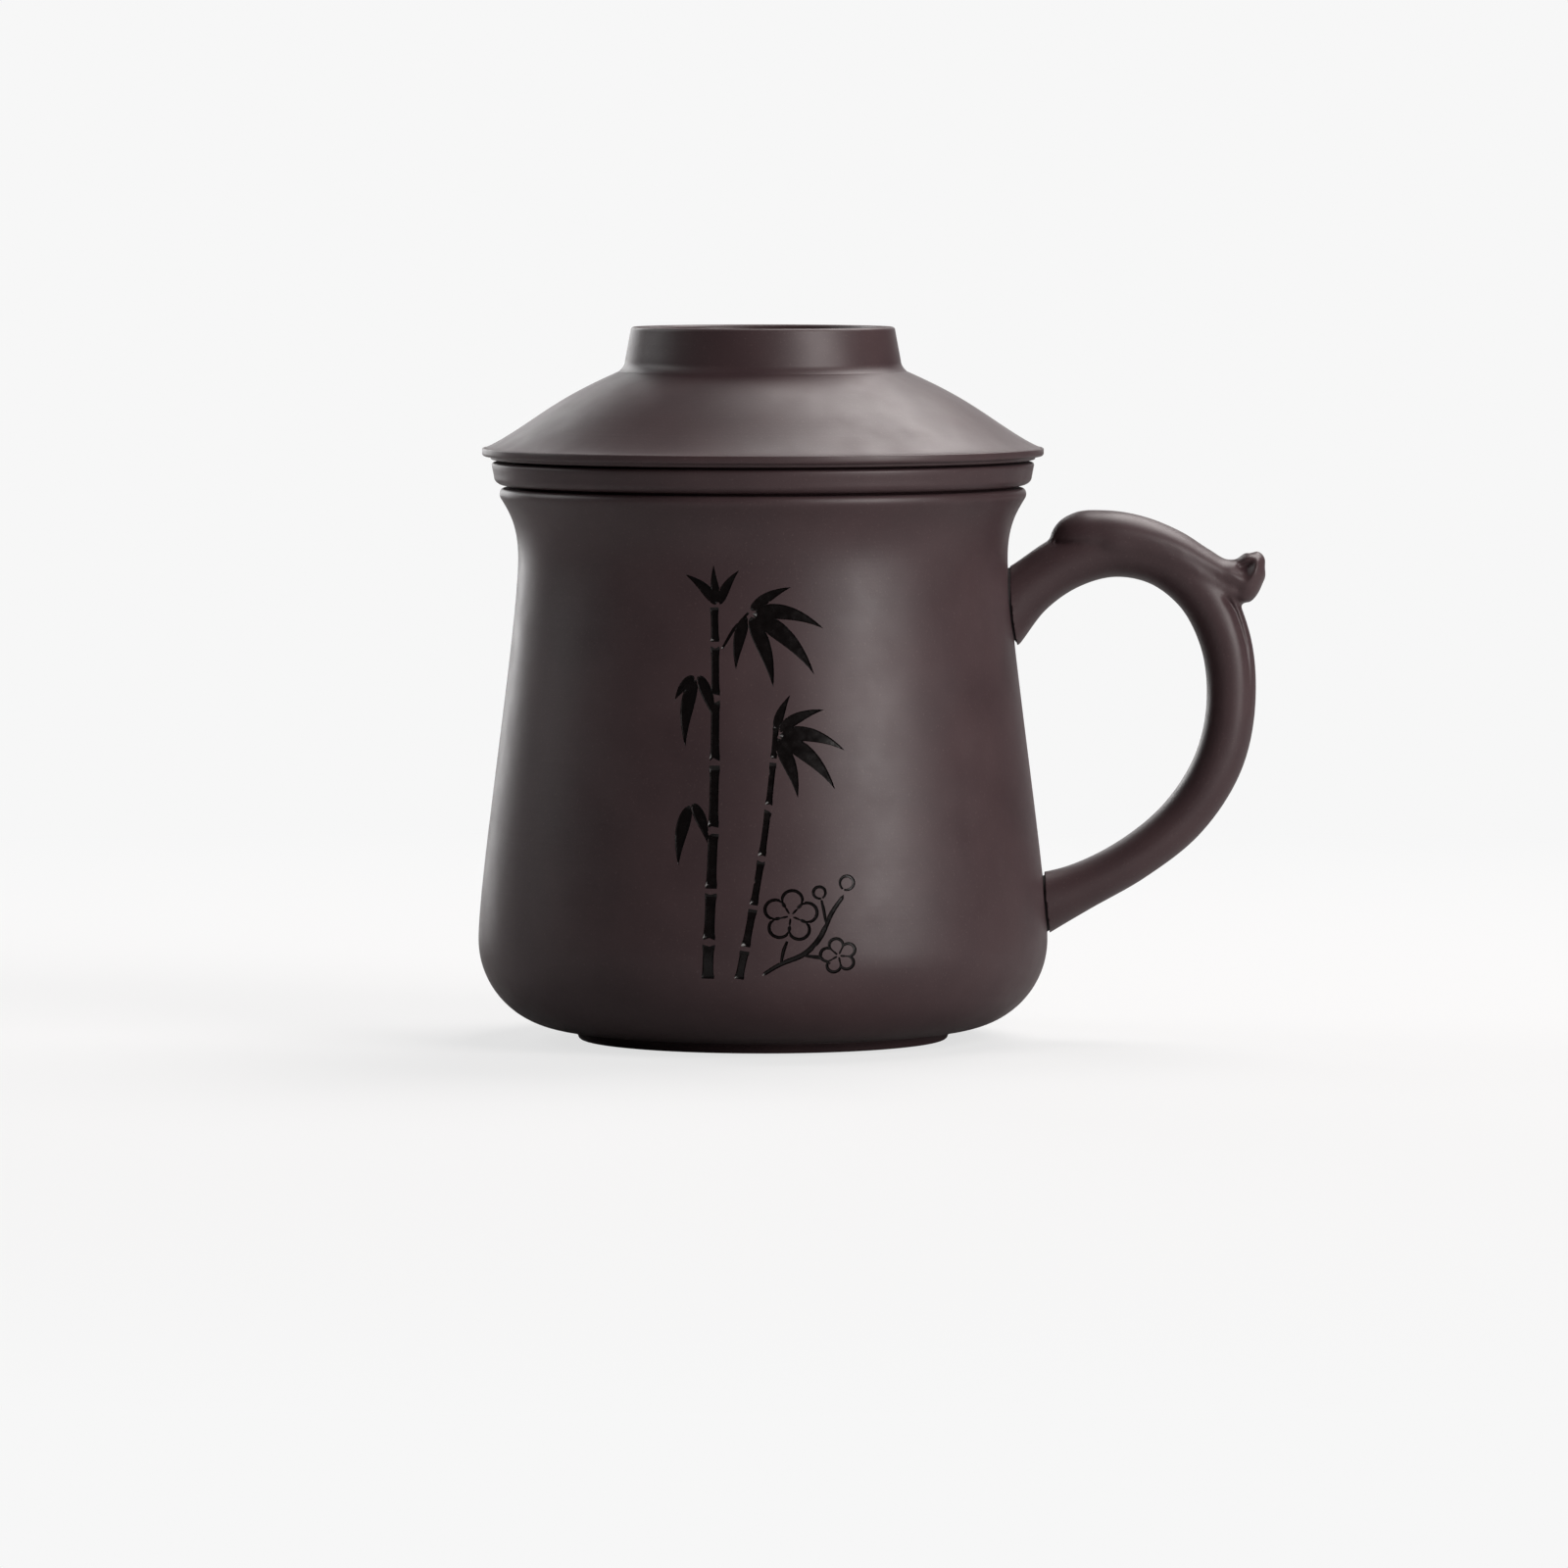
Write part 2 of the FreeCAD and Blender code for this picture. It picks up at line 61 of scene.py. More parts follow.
BELLY_RADIUS, FOOT_HEIGHT, RIM_HEIGHT = box_mm("mug_body")
FOOT_TOP_RADIUS, _, _ = box_mm("foot_ring")
FLANGE_RADIUS, CUP_BOTTOM, FLANGE_TOP = box_mm("infuser_cup")
LID_RADIUS, _, LID_TOP = box_mm("lid_dome")
RING_RADIUS, RING_LOW, _ = box_mm("lid_locating_ring")
KNOB_FOOT_RADIUS, _, KNOB_TOP = box_mm("lid_knob_ring")

WALL = 3.6
BASE = 4.5
BELLY_HEIGHT = 17.8
BELLY_EASE = 10.9
WAIST_RADIUS = 43.7
WAIST_EASE = 11.7
WAIST_HEIGHT = RIM_HEIGHT - 12.5
FLARE_EASE = 5.6
LIP_RADIUS = 46.8
LIP_DROP = 1.8
LIP_LEAN = 1.6
LIP_RISE = 2.6
LIP_BULGE = 0.5
RIM_OUTER_RADIUS = 46.2
RIM_INNER_RADIUS = 43.9
EDGE = 0.5
SMALL_EDGE = 0.25
LID_TOP_SLOPE = 0.45  # of the dome where it meets the knob
SEAT_GAP = 0.5  # open height of the dark line outside each seat


class Outline:
    """Half the section of a turned piece: points (radius, height) along lines, bends and curves."""

    def __init__(self, radius, height):
        self.points = [(radius, height)]

    def line(self, radius, height, steps=1):
        """A straight stretch."""
        here = np.array(self.points[-1])
        end = np.array((radius, height))
        for step in range(1, steps + 1):
            self.points.append(tuple(here + (end - here) * step / steps))
        return self

    def curve(self, first, second, end, steps=24):
        """A free curve, pulled by two places."""
        poles = np.array([self.points[-1], first, second, end], float)
        for step in range(1, steps + 1):
            t = step / steps
            weights = ((1 - t) ** 3, 3 * t * (1 - t) ** 2, 3 * t * t * (1 - t), t ** 3)
            self.points.append(tuple(np.dot(weights, poles)))
        return self

    def bend(self, corner, end, steps=8):
        """A round stretch that leaves and arrives along its corner."""
        here = np.array(self.points[-1], float)
        corner = np.array(corner, float)
        last = np.array(end, float)
        first = here + (corner - here) * ROUND_PULL
        second = last + (corner - last) * ROUND_PULL
        return self.curve(first, second, end, steps)


def new_object(name, mesh):
    """A mesh as an object in the scene."""
    made = bpy.data.objects.new(name, mesh)
    bpy.context.scene.collection.objects.link(made)
    return made


def smooth_mesh(name, points, faces):
    """A smooth-shaded mesh from points in millimetres and faces."""
    mesh = bpy.data.meshes.new(name)
    mesh.from_pydata([tuple(c * MM for c in point) for point in points], [], faces)
    mesh.polygons.foreach_set("use_smooth", [True] * len(mesh.polygons))
    mesh.update()
    return mesh


def face_outwards(mesh):
    """Turn the faces of a closed mesh outwards."""
    work = bmesh.new()
    work.from_mesh(mesh)
    bmesh.ops.recalc_face_normals(work, faces=work.faces)
    work.to_mesh(mesh)
    work.free()


def column_angle(column):
    """The angle of a column of a turned piece: column 0 is at the back, half way round is the front."""
    return math.pi / 2 + 2 * math.pi * column / TURNS


def turned_grid(outline, skip=None):
    """Points and faces of an outline turned about Z, without the faces that skip(row, column) names."""
    points, rings, faces = [], [], []
    for radius, height in outline:
        if radius < 1e-6:
            rings.append([len(points)] * TURNS)
            points.append((0, 0, height))
            continue
        rings.append(range(len(points), len(points) + TURNS))
        for column in range(TURNS):
            angle = column_angle(column)
            points.append((radius * math.cos(angle), radius * math.sin(angle), height))
    pairs = len(rings) if outline[0][0] > 1e-6 else len(rings) - 1
    for row in range(pairs):
        low, high = rings[row], rings[(row + 1) % len(rings)]
        for column in range(TURNS):
            if skip and skip(row, column):
                continue
            after = (column + 1) % TURNS
            corners = dict.fromkeys((low[column], low[after], high[after], high[column]))
            faces.append(tuple(corners))
    return points, rings, faces


def stands_for(piece, body, node):
    """Let a clay piece ride on a body in the place of a CAD node."""
    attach(piece, body)
    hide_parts(node)


def turned_piece(name, outline, body, node):
    """A turned piece that stands for a CAD node."""
    points, _, faces = turned_grid(outline.points)
    mesh = smooth_mesh(name, points, faces)
    face_outwards(mesh)
    piece = new_object(name, mesh)
    stands_for(piece, body, node)
    return piece


# Materials

def nodes_of(material):
    """A material's nodes and links, with only its shader and output in place."""
    material.use_nodes = True
    tree = material.node_tree
    tree.nodes.clear()
    shader = tree.nodes.new("ShaderNodeBsdfPrincipled")
    output = tree.nodes.new("ShaderNodeOutputMaterial")
    tree.links.new(shader.outputs["BSDF"], output.inputs["Surface"])
    return tree, shader


def noise(tree, vector, scale, detail=3.0, roughness=0.5):
    """A noise texture on a vector."""
    node = tree.nodes.new("ShaderNodeTexNoise")
    node.inputs["Scale"].default_value = scale
    node.inputs["Detail"].default_value = detail
    node.inputs["Roughness"].default_value = roughness
    tree.links.new(vector, node.inputs["Vector"])
    return node.outputs["Fac"]


def remap(tree, value, low, high, new_low, new_high):
    """A value mapped from one range to another."""
    node = tree.nodes.new("ShaderNodeMapRange")
    tree.links.new(value, node.inputs["Value"])
    for name, number in (("From Min", low), ("From Max", high), ("To Min", new_low), ("To Max", new_high)):
        node.inputs[name].default_value = number
    return node.outputs["Result"]


def mix_colours(tree, factor, first, second):
    """Two colours mixed by a factor; each is a colour or a socket."""
    node = tree.nodes.new("ShaderNodeMix")
    node.data_type = "RGBA"
    tree.links.new(factor, node.inputs["Factor"])
    for socket, colour in ((node.inputs["A"], first), (node.inputs["B"], second)):
        if isinstance(colour, tuple):
            socket.default_value = (*colour, 1)
        else:
            tree.links.new(colour, socket)
    return node.outputs["Result"]


def bump(tree, height, distance, strength, under=None):
    """A bump from a height, over another bump if there is one."""
    node = tree.nodes.new("ShaderNodeBump")
    node.inputs["Distance"].default_value = distance
    node.inputs["Strength"].default_value = strength
    tree.links.new(height, node.inputs["Height"])
    if under is not None:
        tree.links.new(under, node.inputs["Normal"])
    return node.outputs["Normal"]


def turning_vector(tree, place):
    """A vector that changes along a turned piece's section and not round it: (radius, 0, height)."""
    split = tree.nodes.new("ShaderNodeSeparateXYZ")
    tree.links.new(place, split.inputs[0])
    flat = tree.nodes.new("ShaderNodeCombineXYZ")
    tree.links.new(split.outputs["X"], flat.inputs["X"])
    tree.links.new(split.outputs["Y"], flat.inputs["Y"])
    length = tree.nodes.new("ShaderNodeVectorMath")
    length.operation = "LENGTH"
    tree.links.new(flat.outputs[0], length.inputs[0])
    joined = tree.nodes.new("ShaderNodeCombineXYZ")
    tree.links.new(length.outputs["Value"], joined.inputs["X"])
    tree.links.new(split.outputs["Z"], joined.inputs["Z"])
    return joined.outputs[0]


def level_faces(tree):
    """1 on faces that look straight up and 0 on the rest."""
    split = tree.nodes.new("ShaderNodeSeparateXYZ")
    tree.links.new(tree.nodes.new("ShaderNodeTexCoord").outputs["Normal"], split.inputs[0])
    return remap(tree, split.outputs["Z"], 0.97, 0.995, 0, 1)


def scaled_sum(tree, value, factor, added):
    """A value times a factor, plus another value."""
    node = tree.nodes.new("ShaderNodeMath")
    node.operation = "MULTIPLY_ADD"
    tree.links.new(value, node.inputs[0])
    node.inputs[1].default_value = factor
    tree.links.new(added, node.inputs[2])
    return node.outputs[0]


CLAY_DARK = (0.048, 0.027, 0.030)
CLAY_MIDDLE = (0.066, 0.038, 0.041)
CLAY_LIGHT = (0.105, 0.070, 0.068)
CLAY_ROUGHNESS = (0.40, 0.50)
CLAY_IOR = 1.5
GROUND_MATT = 0.38  # how much rougher the seats and rims are, which are ground level and not burnished
MOTTLE_SCALE = 60  # scales are in waves per metre
SHEEN_SCALE = 140
MARKS_SCALE = 900
SAND_SCALE = 2600
GRAIN_SCALE = 3200
GRAIN_HEIGHT = 0.00003
GRAIN_STRENGTH = 0.35
MARKS_STRENGTH = 0.5
INK_DARK = (0.0015, 0.0008, 0.0008)
INK_LIGHT = (0.004, 0.002, 0.002)
INK_GLOSS = 0.35
INK_ROUGHNESS = (0.16, 0.3)
INK_SCALE = 700
INK_BUMP = (0.00008, 0.5)  # height and strength
SLIP_DARK = (0.012, 0.009, 0.010)
SLIP_LIGHT = (0.03, 0.022, 0.023)
SLIP_ROUGHNESS = 0.7
SLIP_SCALE = 900
SLIP_BUMP = (0.0001, 0.6)


def clay(name, turned=True):
    """Burnished unglazed clay: mottled dark purple brown, with fine sand and, if turned, faint marks."""
    material = bpy.data.materials.new(name)
    tree, shader = nodes_of(material)
    place = tree.nodes.new("ShaderNodeTexCoord").outputs["Object"]
    mottle = remap(tree, noise(tree, place, MOTTLE_SCALE, 4), 0.3, 0.7, 0, 1)
    sand = remap(tree, noise(tree, place, SAND_SCALE, 2), 0.62, 0.75, 0, 0.5)
    body = mix_colours(tree, mottle, CLAY_DARK, CLAY_MIDDLE)
    tree.links.new(mix_colours(tree, sand, body, CLAY_LIGHT), shader.inputs["Base Color"])
    rough = remap(tree, noise(tree, place, SHEEN_SCALE, 5), 0.25, 0.75, *CLAY_ROUGHNESS)
    shader.inputs["IOR"].default_value = CLAY_IOR
    normal = bump(tree, noise(tree, place, GRAIN_SCALE, 3), GRAIN_HEIGHT, GRAIN_STRENGTH)
    if turned:
        rough = scaled_sum(tree, level_faces(tree), GROUND_MATT, rough)
        marks = noise(tree, turning_vector(tree, place), MARKS_SCALE, 4, 0.6)
        normal = bump(tree, marks, GRAIN_HEIGHT, MARKS_STRENGTH, normal)
    tree.links.new(rough, shader.inputs["Roughness"])
    tree.links.new(normal, shader.inputs["Normal"])
    return material


def ink(name):
    """Glossy black ink that lies in the carved strokes."""
    material = bpy.data.materials.new(name)
    tree, shader = nodes_of(material)
    place = tree.nodes.new("ShaderNodeTexCoord").outputs["Object"]
    uneven = noise(tree, place, INK_SCALE, 3)
    tree.links.new(mix_colours(tree, uneven, INK_DARK, INK_LIGHT), shader.inputs["Base Color"])
    tree.links.new(remap(tree, uneven, 0.3, 0.7, *INK_ROUGHNESS), shader.inputs["Roughness"])
    shader.inputs["Specular IOR Level"].default_value = INK_GLOSS
    tree.links.new(bump(tree, uneven, *INK_BUMP), shader.inputs["Normal"])
    return material


def slip(name):
    """Matt slip in the seams of the handle."""
    material = bpy.data.materials.new(name)
    tree, shader = nodes_of(material)
    place = tree.nodes.new("ShaderNodeTexCoord").outputs["Object"]
    uneven = noise(tree, place, SLIP_SCALE, 4)
    tree.links.new(mix_colours(tree, uneven, SLIP_DARK, SLIP_LIGHT), shader.inputs["Base Color"])
    shader.inputs["Roughness"].default_value = SLIP_ROUGHNESS
    tree.links.new(bump(tree, uneven, *SLIP_BUMP), shader.inputs["Normal"])
    return material


turned_clay = clay("turned_clay")
pressed_clay = clay("pressed_clay", turned=False)
black_ink = ink("black_ink")
seam_slip = slip("seam_slip")


def give(piece, *materials):
    """Give a piece its materials, in order."""
    piece.data.materials.clear()
    for material in materials:
        piece.data.materials.append(material)


# Carved ornament: strokes on the front of the mug, as (along the wall, height) in millimetres.

CARVE_DEPTH = 0.26
CARVE_WALL = 0.18
NARROWEST_FLOOR = 0.09  # a stroke has no floor where its half width is less
STALK = 0.16  # half width of a leaf's stalk
LINE_END, LINE_SWELL = 0.72, 0.38  # shares of a drawn line's width: at its ends, and added in its middle
JOINT_WAIST, JOINT_SWELL, JOINT_END = 0.78, 0.36, 0.9  # shares of a joint's width: waist, added, and tip
PETAL_HUB, PETAL_RADIUS, PETAL_TURN = 0.62, 0.40, 0.80  # shares of a blossom's size, and of a half turn
PETAL_LINE, STAMEN_LINE, BUD_LINE = 0.52, 0.34, 0.5
STAMEN_START, STAMEN_END, STAMEN_ANGLE = 0.1, 0.38, 0.63
BUD_TURN = 0.97
PANEL_COLUMNS = 28
PANEL_LOW, PANEL_HIGH = 12.5, 87.5
UNROLL_RADIUS = 47.0  # turns a place along the wall into an angle
CLEAR_OF_STROKE = 0.22


def ribbon(centre, half_widths):
    """The outline of a stroke: a line with a half width at each of its points."""
    centre = np.array(centre, float)
    way = np.gradient(centre, axis=0)
    way /= np.linalg.norm(way, axis=1)[:, None]
    side = np.column_stack((-way[:, 1], way[:, 0])) * np.array(half_widths)[:, None]
    return np.vstack((centre - side, (centre + side)[::-1]))


def stroke(centre, half_widths):
    """A carved stroke: its outline on the surface, and the outline of its floor."""
    centre = np.array(centre, float)
    half_widths = np.array(half_widths, float)
    inside = half_widths > NARROWEST_FLOOR
    inside[0] = inside[-1] = False
    floor = np.maximum(half_widths - CARVE_WALL, half_widths / 4)
    return ribbon(centre, half_widths), ribbon(centre[inside], floor[inside])


def direction(angle):
    """The unit step at an angle in radians."""
    return np.array((math.cos(angle), math.sin(angle)))


def bow_line(start, angle, length, sag, count):
    """Points of a line that leaves a start at an angle, in degrees, and bows sideways by a sag."""
    t = np.linspace(0, 1, count)
    way = direction(math.radians(angle))
    side = np.array((-way[1], way[0]))
    return np.array(start) + np.outer(t * length, way) + np.outer(4 * sag * t * (1 - t), side)


def leaf(start, angle, length, width, sag=0.0):
    """A bamboo leaf: it swells from a thin stalk and runs out to a long point."""
    count = 18
    t = np.linspace(0, 1, count)
    swell = np.sin(math.pi * t ** 0.72) ** 0.9 * (1 - 0.35 * t)
    stalk = STALK * (1 - t)
    return stroke(bow_line(start, angle, length, sag, count), width / 2 * swell + stalk + 0.02)


def joint(start, angle, length, width):
    """One joint of a bamboo stem: a bar that is waisted and has swollen ends."""
    count = 14
    t = np.linspace(0, 1, count)
    half = width / 2 * (JOINT_WAIST + JOINT_SWELL * np.abs(2 * t - 1) ** 5)
    half[0] = half[-1] = width / 2 * JOINT_END
    return stroke(bow_line(start, angle, length, 0.0, count), half)


def stem(start, joints, width, taper, gap=0.75):
    """A bamboo stem: its joints (angle, length) one after another, each a little thinner than the last."""
    strokes = []
    here = np.array(start, float)
    for angle, length in joints:
        strokes.append(joint(here, angle, length, width))
        here = here + direction(math.radians(angle)) * (length + gap)
        width *= taper
    return strokes


def line_stroke(points, width, count=22):
    """A drawn line through points, which swells and thins a little as a brush does."""
    points = np.array(points, float)
    t = np.linspace(0, 1, len(points))
    fine = np.linspace(0, 1, count)
    smooth = np.column_stack([np.interp(fine, t, points[:, axis]) for axis in (0, 1)])
    for _ in range(3):
        smooth[1:-1] = (smooth[:-2] + 2 * smooth[1:-1] + smooth[2:]) / 4
    half = width / 2 * (LINE_END + LINE_SWELL * np.sin(math.pi * fine))
    return stroke(smooth, half)


def blossom(centre, size, turn, petals=5):
    """A plum blossom in line: round petals, with a stamen between each two."""
    strokes = []
    centre = np.array(centre, float)
    for number in range(petals):
        middle = math.radians(turn + 360 / petals * number)
        arc = np.linspace(-PETAL_TURN, PETAL_TURN, 15) * math.pi
        hub = centre + size * PETAL_HUB * direction(middle)
        petal = [hub + size * PETAL_RADIUS * direction(middle + a) for a in arc]
        strokes.append(line_stroke(petal, PETAL_LINE, 26))
        way = direction(middle + STAMEN_ANGLE)
        stamen = [centre + way * size * STAMEN_START, centre + way * size * STAMEN_END]
        strokes.append(line_stroke(stamen, STAMEN_LINE, 6))
    return strokes


# Stems: the angle and length of each joint.
TALL_STEM = [(88.2, 6.0), (88.6, 8.2), (89.2, 9.8), (90.0, 10.8), (90.8, 10.6), (91.6, 8.6), (92.6, 6.0)]
LOW_STEM = [(79.0, 5.0), (80.0, 6.6), (81.0, 7.8), (82.5, 8.2), (84.0, 7.4), (85.0, 5.6)]
TWIGS = [
    [(-7.4, 71.9), (-5.4, 75.2), (-2.6, 78.2)],
    [(-9.2, 63.3), (-10.4, 65.4), (-11.9, 67.0)],
    [(-9.3, 40.5), (-10.7, 43.0), (-12.2, 44.8)],
]
# Where each leaf starts, its angle, length, width and bow.
LEAVES = [
    (-2.2, 78.6, 28, 8.5, 1.9, 0.5),
    (-1.9, 78.2, -12, 13.5, 2.7, 1.3),
    (-2.1, 77.8, -42, 15.5, 3.3, 1.4),
    (-2.5, 77.5, -70, 13.0, 2.9, 0.8),
    (-3.0, 77.6, -101, 9.5, 2.3, -0.5),
    (-8.3, 79.9, 98, 6.6, 1.6, 0.3),
    (-8.1, 79.6, 58, 7.0, 1.8, 0.5),
    (-8.6, 79.6, 140, 8.0, 1.9, -0.6),
    (-12.2, 66.8, -97, 12.0, 2.7, -0.8),
    (-12.5, 67.0, -130, 5.4, 1.7, -0.4),
    (-11.7, 67.2, -68, 8.5, 2.2, 0.4),
    (-12.5, 44.6, -99, 10.5, 2.4, -0.6),
    (-12.0, 45.0, -68, 7.5, 2.0, 0.4),
    (2.3, 57.9, 66, 6.5, 1.6, 0.3),
    (2.8, 57.6, 24, 9.0, 2.0, 0.7),
    (2.9, 57.1, -14, 12.0, 2.6, 1.2),
    (2.7, 56.7, -43, 13.5, 3.0, 1.2),
    (2.3, 56.4, -70, 11.0, 2.6, 0.7),
]
# Where each line of the spray goes, and its width.
SPRAY = [
    ([(-0.4, 15.0), (3.0, 17.4), (6.8, 18.7), (9.6, 21.8), (11.2, 26.0), (13.8, 29.4)], 0.85),
    ([(6.8, 18.7), (9.4, 18.3), (11.0, 17.2)], 0.6),
    ([(3.0, 17.4), (3.4, 19.6), (4.0, 21.2)], 0.55),
    ([(10.4, 24.2), (10.1, 26.4), (9.7, 28.3)], 0.5),
]
# Blossoms and buds: middle, size and angle.
BLOSSOMS = [(4.6, 25.6, 4.4, 84), (12.4, 18.6, 3.0, 30)]
BUDS = [(14.1, 31.2, 1.3, 60), (9.4, 29.6, 1.1, 110)]


def bud(across, height, size, angle):
    """A closed bud in line."""
    turns = np.radians(angle) + np.linspace(-BUD_TURN, BUD_TURN, 14) * math.pi
    loop = [(across + size * math.cos(a), height + size * math.sin(a)) for a in turns]
    return line_stroke(loop, BUD_LINE)


def ornament():
    """A common bamboo and plum design: two jointed stems with leaves, and a spray in line at the foot."""
    strokes = stem((-8.9, 14.6), TALL_STEM, 2.3, 0.96)
    strokes += stem((-3.8, 14.6), LOW_STEM, 1.7, 0.94)
    strokes += [line_stroke(twig, 0.55) for twig in TWIGS]
    for across, height, angle, length, width, bow in LEAVES:
        strokes.append(leaf((across, height), angle, length, width, bow))
    for across, height, size, turn in BLOSSOMS:
        strokes += blossom((across, height), size, turn)
    strokes += [bud(*one) for one in BUDS]
    strokes += [line_stroke(line, width) for line, width in SPRAY]
    return strokes


def panel_rows(outline):
    """First and last row of the outline that the carved panel covers, on the outside of the wall."""
    heights = [height for _, height in outline]
    turning = heights.index(max(heights))
    rows = [row for row in range(turning) if PANEL_LOW < heights[row] < PANEL_HIGH]
    return rows[0], rows[-1]


def triangulate_panel(outline, first_row, last_row, strokes):
    """Triangles of the panel in the plane (along, height), and which of its points lie on stroke floors."""
    columns = range(TURNS // 2 - PANEL_COLUMNS // 2, TURNS // 2 + PANEL_COLUMNS // 2 + 1)
    step = 2 * math.pi / TURNS * UNROLL_RADIUS
    edge_points, edge_keys, inner_points = [], [], []
    outlines = np.vstack([np.vstack(pair) for pair in strokes])
    for row in range(first_row, last_row + 1):
        for column in columns:
            place = ((column - TURNS // 2) * step, outline[row][1])
            on_edge = row in (first_row, last_row) or column in (columns[0], columns[-1])
            if on_edge:
                edge_points.append(place)
                edge_keys.append((row, column))
            elif np.min(np.hypot(*(outlines - place).T)) > CLEAR_OF_STROKE:
                inner_points.append(place)
    points = edge_points + inner_points
    faces, floors = [], set()
    for top, floor in strokes:
        for is_floor, loop in ((False, top), (True, floor)):
            if is_floor:
                floors.add(len(faces))
            faces.append(list(range(len(points), len(points) + len(loop))))
            points.extend(map(tuple, loop))
    places, _, triangles, from_points, _, from_faces = delaunay_2d_cdt(
        [Vector(p) for p in points], [], faces, 0, 1e-6, True)
    on_floor = set()
    for triangle, sources in zip(triangles, from_faces):
        if floors.intersection(sources):
            on_floor.update(triangle)
    keys = [next((edge_keys[i] for i in sources if i < len(edge_keys)), None) for sources in from_points]
    return places, triangles, on_floor, keys


def wall_radius(outline, height, turning):
    """The outside radius of the wall at a height."""
    radii = [point[0] for point in outline[:turning]]
    heights = [point[1] for point in outline[:turning]]
    return float(np.interp(height, heights, radii))


def wall_slope(outline, height, turning):
    """How fast the outside radius grows with height."""
    reach = 0.2
    above = wall_radius(outline, height + reach, turning)
    below = wall_radius(outline, height - reach, turning)
    return (above - below) / (2 * reach)


def outside_to_waist(grown=0.0):
    """The outside of the wall, from the middle of its underside up to the waist, grown by a gap."""
    belly, waist = BELLY_RADIUS + grown, WAIST_RADIUS + grown
    corner = BELLY_HEIGHT - FOOT_HEIGHT
    outline = Outline(0, FOOT_HEIGHT)
    outline.line(BELLY_RADIUS - corner, FOOT_HEIGHT)
    outline.bend((belly, FOOT_HEIGHT), (belly, BELLY_HEIGHT), 30)
    outline.curve((belly, BELLY_HEIGHT + BELLY_EASE), (waist, WAIST_HEIGHT - WAIST_EASE),
                  (waist, WAIST_HEIGHT), 64)
    return outline


def mug_outline():
    """The section of the mug's body, from the middle of its underside round to the middle of its floor."""
    floor = FOOT_HEIGHT + BASE
    inner_belly = BELLY_RADIUS - WALL
    inner_waist = WAIST_RADIUS - WALL
    outline = outside_to_waist()
    outline.curve((WAIST_RADIUS, WAIST_HEIGHT + FLARE_EASE),
                  (LIP_RADIUS - LIP_LEAN, RIM_HEIGHT - LIP_DROP - LIP_RISE),
                  (LIP_RADIUS, RIM_HEIGHT - LIP_DROP), 16)
    outline.curve((LIP_RADIUS + LIP_BULGE, RIM_HEIGHT - LIP_DROP / 2), (LIP_RADIUS, RIM_HEIGHT),
                  (RIM_OUTER_RADIUS, RIM_HEIGHT), 10)
    outline.line(RIM_INNER_RADIUS + EDGE, RIM_HEIGHT)
    outline.bend((RIM_INNER_RADIUS, RIM_HEIGHT), (RIM_INNER_RADIUS, RIM_HEIGHT - EDGE), 6)
    outline.curve((RIM_INNER_RADIUS - LIP_LEAN, RIM_HEIGHT - LIP_DROP - LIP_RISE),
                  (inner_waist, WAIST_HEIGHT + FLARE_EASE), (inner_waist, WAIST_HEIGHT), 14)
    outline.curve((inner_waist, WAIST_HEIGHT - WAIST_EASE), (inner_belly, BELLY_HEIGHT + BELLY_EASE),
                  (inner_belly, BELLY_HEIGHT), 40)
    outline.bend((inner_belly, floor), (inner_belly - BELLY_HEIGHT + floor, floor), 16)
    outline.line(0, floor)
    return outline.points


def carved_wall(outline):
    """Points and faces of the body with its strokes cut in, and what their shading needs."""
    turning = [height for _, height in outline].index(RIM_HEIGHT)
    first_row, last_row = panel_rows(outline)
    middle, half = TURNS // 2, PANEL_COLUMNS // 2

    def in_panel(row, column):
        return first_row <= row < last_row and middle - half <= column < middle + half

    points, rings, faces = turned_grid(outline, in_panel)
    places, triangles, on_floor, keys = triangulate_panel(outline, first_row, last_row, ornament())
    index, normals = [], {}
    for number, (place, key) in enumerate(zip(places, keys)):
        angle = place.x / UNROLL_RADIUS - math.pi / 2
        slope = wall_slope(outline, place.y, turning)
        out = Vector((math.cos(angle), math.sin(angle), -slope)).normalized()
        if key is not None:
            index.append(rings[key[0]][key[1]])
        else:
            radius = wall_radius(outline, place.y, turning)
            surface = Vector((radius * math.cos(angle), radius * math.sin(angle), place.y))
            depth = CARVE_DEPTH if number in on_floor else 0.0
            index.append(len(points))
            points.append(tuple(surface - out * depth))
        normals[index[-1]] = out
    floor_points = {index[number] for number in on_floor}
    first_panel_face = len(faces)
    faces += [tuple(index[corner] for corner in triangle) for triangle in triangles]
    return points, faces, first_panel_face, floor_points, normals


